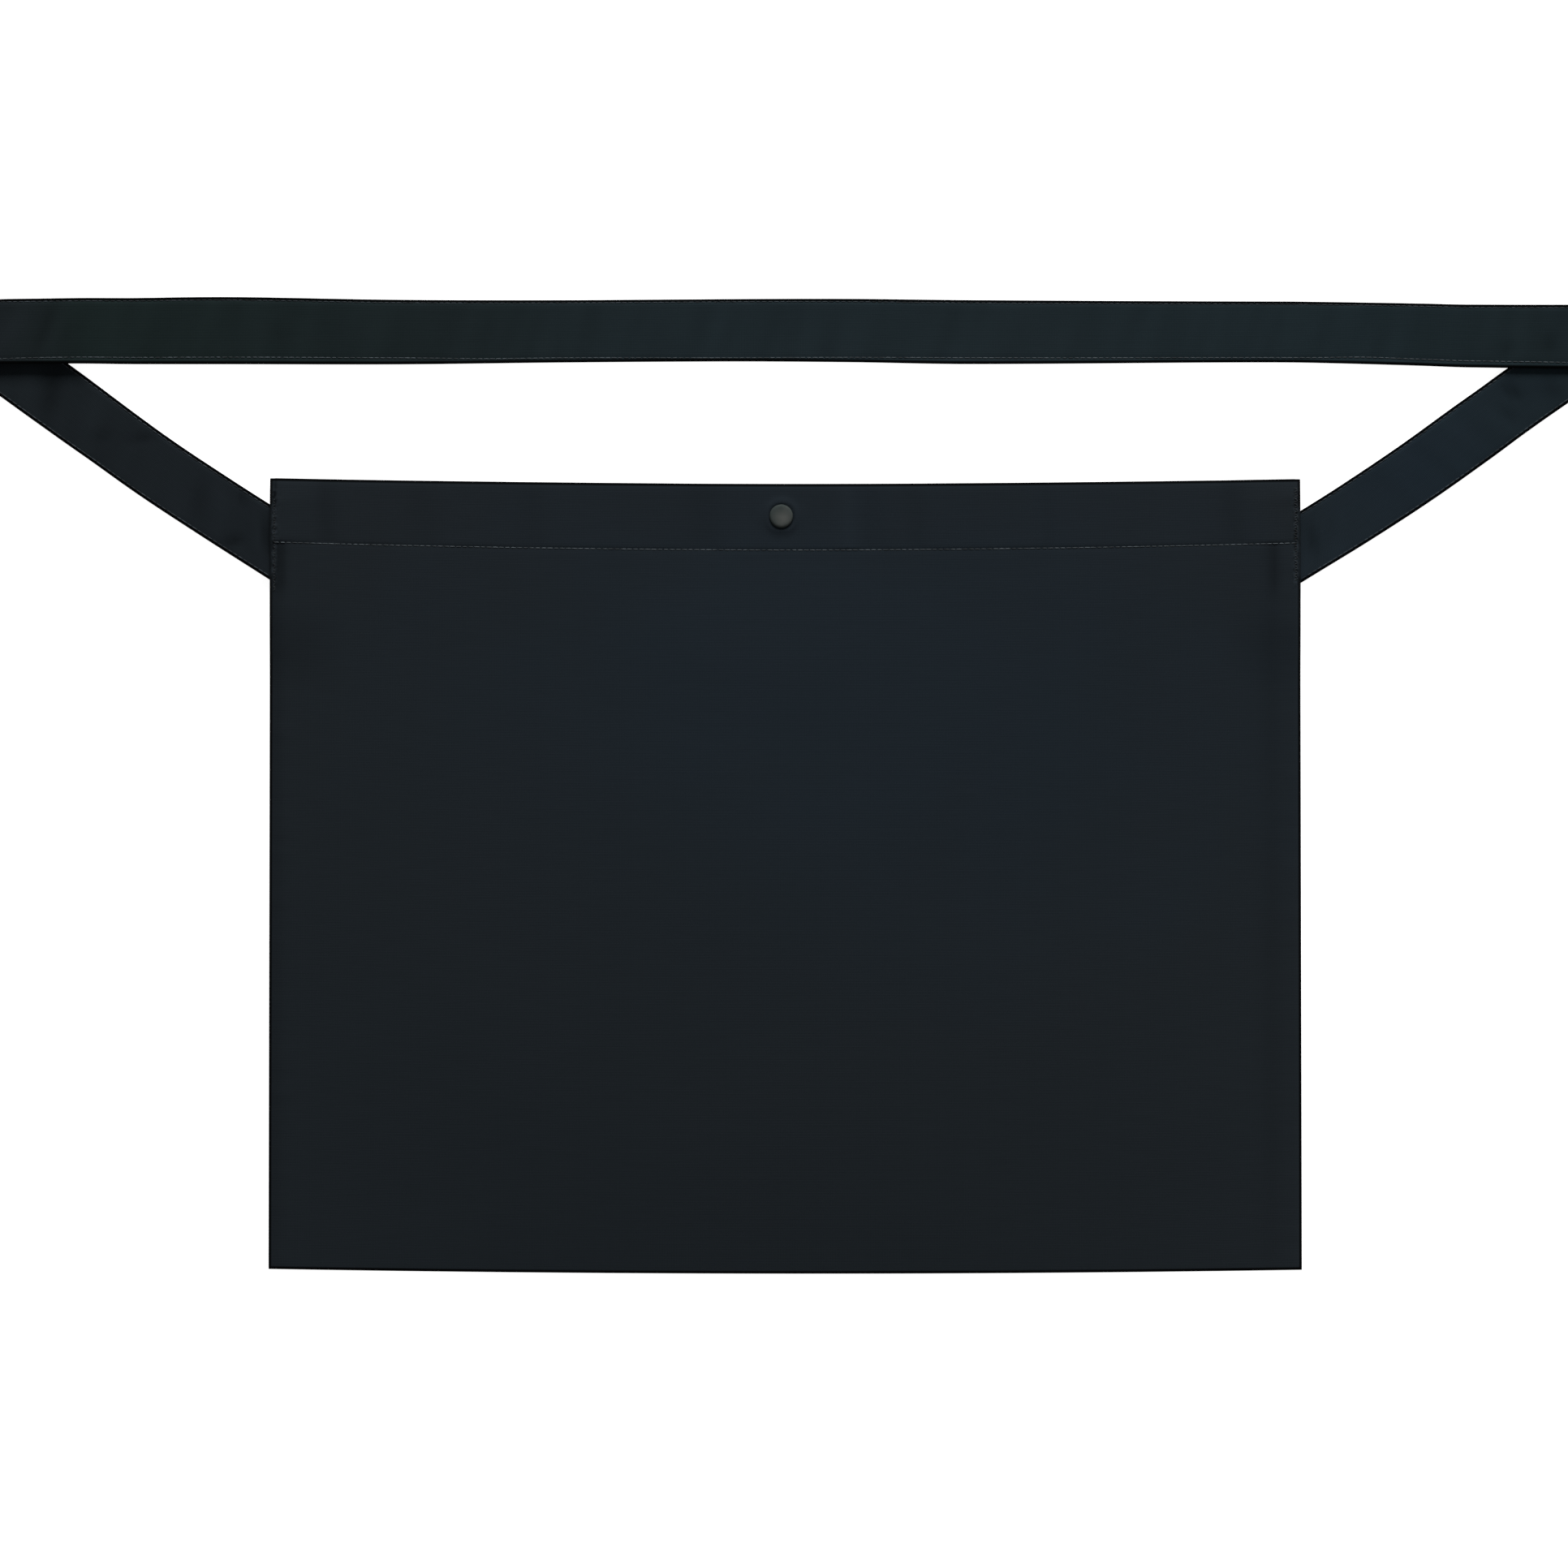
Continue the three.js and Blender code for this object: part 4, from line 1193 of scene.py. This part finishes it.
def on_panel(point_of, x, y, rise):
    """Points on a panel's outer face, raised by rise."""
    x, y = np.broadcast_arrays(np.asarray(x, float), np.asarray(y, float))
    full = np.full(x.shape, np.pi / 2)
    points, _, _ = point_of([full, full * 0, x, full, y], False)
    points[..., 2] += rise
    return points


stitch_rise = 0.04  # of a stitch's middle over the cloth
hem_inset, hem_points = 1.8, 240
hem_x = np.linspace(hem_inset - half_width, half_width - hem_inset, hem_points)
for name, point_of, rise, seed in (
    ("front_hem_stitches", front_point, stitch_rise, 1),
    ("back_hem_stitches", back_point, -stitch_rise, 2),
):
    sew(name, on_panel(point_of, hem_x, hem_line_at(hem_x), rise), "panel_cotton", seed)
zigzag_share, zigzag_thread, zigzag_points = 0.85, 0.36, 60
# Each zigzag's inset, lower and upper end down from the corner, pitch and swing
for side, name, inset, low_end, high_end, seed, pitch, swing in (
    (-1, "left_seam_stitches", 2.0, 44.5, 8.0, 3, 1.1, 0.9),
    (1, "right_seam_stitches", 2.1, 40.0, 3.4, 4, 1.0, 1.8),
):
    bar = np.linspace(bag_height - low_end, bag_height - high_end, zigzag_points)
    row = on_panel(front_point, side * (half_width - inset), bar, stitch_rise)
    sew(name, row, "panel_cotton", seed, dark_spun, pitch, swing, zigzag_share, zigzag_thread)
strap_ends_free = 0.5
free_part = (strap_along > strap_ends_free) & (strap_along < strap_length - strap_ends_free)
closed_edge = stitch_line(strap_along)
for name, across, face, seed, spun, rise in (
    ("strap_stitches", closed_edge, -1, 5, worn_spun, 0.1),
    ("strap_under_stitches", closed_edge, 1, 6, navy_spun, 0.08),
    ("strap_fold_stitches", fold_stitch + 0 * strap_along, 1, 7, navy_spun, 0.04),
    ("strap_fold_under_stitches", fold_stitch + 0 * strap_along, -1, 8, navy_spun, 0.02),
):
    sew(name, band_line(across, face * (half_thick + rise))[free_part], "strap_cotton", seed, spun)

# Snap. A spring snap of pressed brass in three parts: a domed cap, enamelled dull grey, whose post
# goes through the front hem; the nickel-plated socket that holds the post behind it; and the stud
# on the back hem, whose knob is pressed into the socket.
lathe_points = 72
metal_sharp = math.radians(40)


def turned(name, profile, material, slot, *nodes):
    """A spun part about the snap's axis, from its closed profile of radius and height."""
    points, faces, rows = [], [], []
    for radius, height in profile:
        if radius == 0:
            rows.append([len(points)] * lathe_points)
            points.append((0, 0, height))
            continue
        rows.append(list(range(len(points), len(points) + lathe_points)))
        for k in range(lathe_points):
            angle = 2 * math.pi * k / lathe_points
            points.append((radius * math.cos(angle), radius * math.sin(angle), height))
    following = rows[1:] if profile[0][0] == 0 else rows[1:] + rows[:1]
    for a, b in zip(rows, following):
        for k in range(lathe_points):
            j = (k + 1) % lathe_points
            face = [*dict.fromkeys((a[k], a[j], b[j], b[k]))]
            if len(face) > 2:
                faces.append(face)
    placed = np.array(points) * mm + np.array([*snap_middle, 0])
    mesh = bpy.data.meshes.new(name)
    mesh.from_pydata(placed.tolist(), [], faces)
    if signed_volume(mesh) < 0:
        mesh.flip_normals()
    mesh.shade_smooth()
    mesh.set_sharp_from_angle(angle=metal_sharp)
    return add_piece(name, mesh, material, slot, *nodes)


# The rubbed middle: how far off the axis it is, how far out it fades, and how ragged its edge is
wear_shift = (0.9, -0.8)
wear_from, wear_to = 1.8, 6.0
wear_swing, wear_size = 2.4, 3.0
rough_swing = 0.06
metal_relief = 0.02


def snap_metal(name, colour, worn, metallic, roughness, gloss, grain):
    """Pressed sheet metal: a fine uneven grain, a little brighter where it is rubbed."""
    material, tree = new_material(name)
    place = node(tree, "ShaderNodeTexCoord").outputs["Object"]
    fine = cloudy(tree, place, grain, 3.0)
    middle = (snap_middle.x + wear_shift[0] * mm, snap_middle.y + wear_shift[1] * mm, 0.0)
    moved = vector_calc(tree, "SUBTRACT", place, middle)
    level = vector_calc(tree, "MULTIPLY", moved, (1.0, 1.0, 0.0))
    away = vector_calc(tree, "LENGTH", level).outputs["Value"]
    ragged = calc(tree, "MULTIPLY_ADD", cloudy(tree, place, wear_size), wear_swing * mm, away)
    wear = mapped(tree, ragged, (wear_from * mm, wear_to * mm), (1.0, 0.0))
    surface(tree, {
        "Base Color": blended(tree, wear, linear(colour), linear(worn)),
        "Metallic": metallic,
        "Roughness": mapped(tree, fine, noise_span, (roughness - rough_swing, roughness + rough_swing)),
        "Specular IOR Level": gloss,
        "Normal": bumped(tree, fine, metal_relief, 0.4),
    })
    return material


# Stove enamel rubbed dull in use, and bright nickel plate that is only seen from the side
cap_enamel = snap_metal("dull grey enamel", "#323837", "#4A4C4A", 0.0, 0.7, 0.04, 0.3)
nickel = snap_metal("nickel-plated brass", "#A9A79F", "#B9B6AD", 1.0, 0.32, 0.5, 0.4)
post_radius = 1.3
cap_top = snap_cap_high.z / mm
cap_post_end = snap_cap_low.z / mm
dome_rise = 1.05
dome_power = 8  # the higher, the flatter the dome and the tighter its edge
cap_edge = cap_top - dome_rise
dome = [
    (cap_radius * r, cap_edge + dome_rise * math.sqrt(1 - r**dome_power))
    for r in (0.998, 0.992, 0.982, 0.968, 0.95, 0.925, 0.89, 0.845, 0.78, 0.7, 0.55, 0.35, 0.18, 0)
]
hem_top = front_hem_floor + hem_cloth
turned("snap_cap_dome", [
    (0, cap_post_end),
    (post_radius, cap_post_end),
    (post_radius, hem_top - 0.1),
    (cap_radius - 0.7, hem_top - 0.1),
    (cap_radius - 0.25, hem_top - 0.05),
    (cap_radius - 0.04, hem_top + 0.15),
    (cap_radius, hem_top + 0.4),
    (cap_radius - 0.02, cap_edge),
    *dome,
], cap_enamel, "cap_paint", "snap_cap")
flange_radius = 4.8  # of the socket and of both plates of the stud
post_hole = 1.6  # the socket's
mouth_hole = 2.3  # the socket's, for the knob
socket_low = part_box("snap_socket")[0].z / mm
turned("snap_socket_ring", [
    (mouth_hole, socket_low),
    (flange_radius - 0.5, socket_low),
    (flange_radius - 0.15, socket_low + 0.12),
    (flange_radius, socket_low + 0.5),
    (flange_radius, front_hem_floor - 0.45),
    (flange_radius - 0.2, front_hem_floor - 0.1),
    (flange_radius - 0.6, front_hem_floor),
    (post_hole, front_hem_floor),
    (post_hole, front_hem_floor - 0.75),
    (mouth_hole, front_hem_floor - 0.9),
    (mouth_hole + 0.15, front_hem_floor - 1.4),
], nickel, "snap_steel", "snap_socket")
back_hem_top = back_hem_floor + hem_cloth
stud_plate = back_hem_top + 1.0
knob_radius = 2.0
stud_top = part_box("snap_stud")[1].z / mm
turned("snap_stud_knob", [
    (0, 0),
    (flange_radius - 0.6, 0),
    (flange_radius - 0.1, 0.2),
    (flange_radius, 0.55),
    (flange_radius - 0.2, 0.85),
    (flange_radius - 0.6, back_hem_floor),
    (post_radius, back_hem_floor),
    (post_radius, back_hem_top),
    (flange_radius - 0.6, back_hem_top),
    (flange_radius - 0.1, back_hem_top + 0.15),
    (flange_radius, back_hem_top + 0.5),
    (flange_radius - 0.2, stud_plate - 0.15),
    (flange_radius - 0.7, stud_plate),
    (knob_radius - 0.25, stud_plate),
    (knob_radius, stud_plate + 0.4),
    (knob_radius - 0.05, stud_top - 0.35),
    (knob_radius - 0.4, stud_top),
    (0, stud_top),
], nickel, "snap_steel", "snap_stud")

boxes = {"cad": cad_box, "visual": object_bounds()}
{name: [list(low), list(high)] for name, (low, high) in boxes.items()}
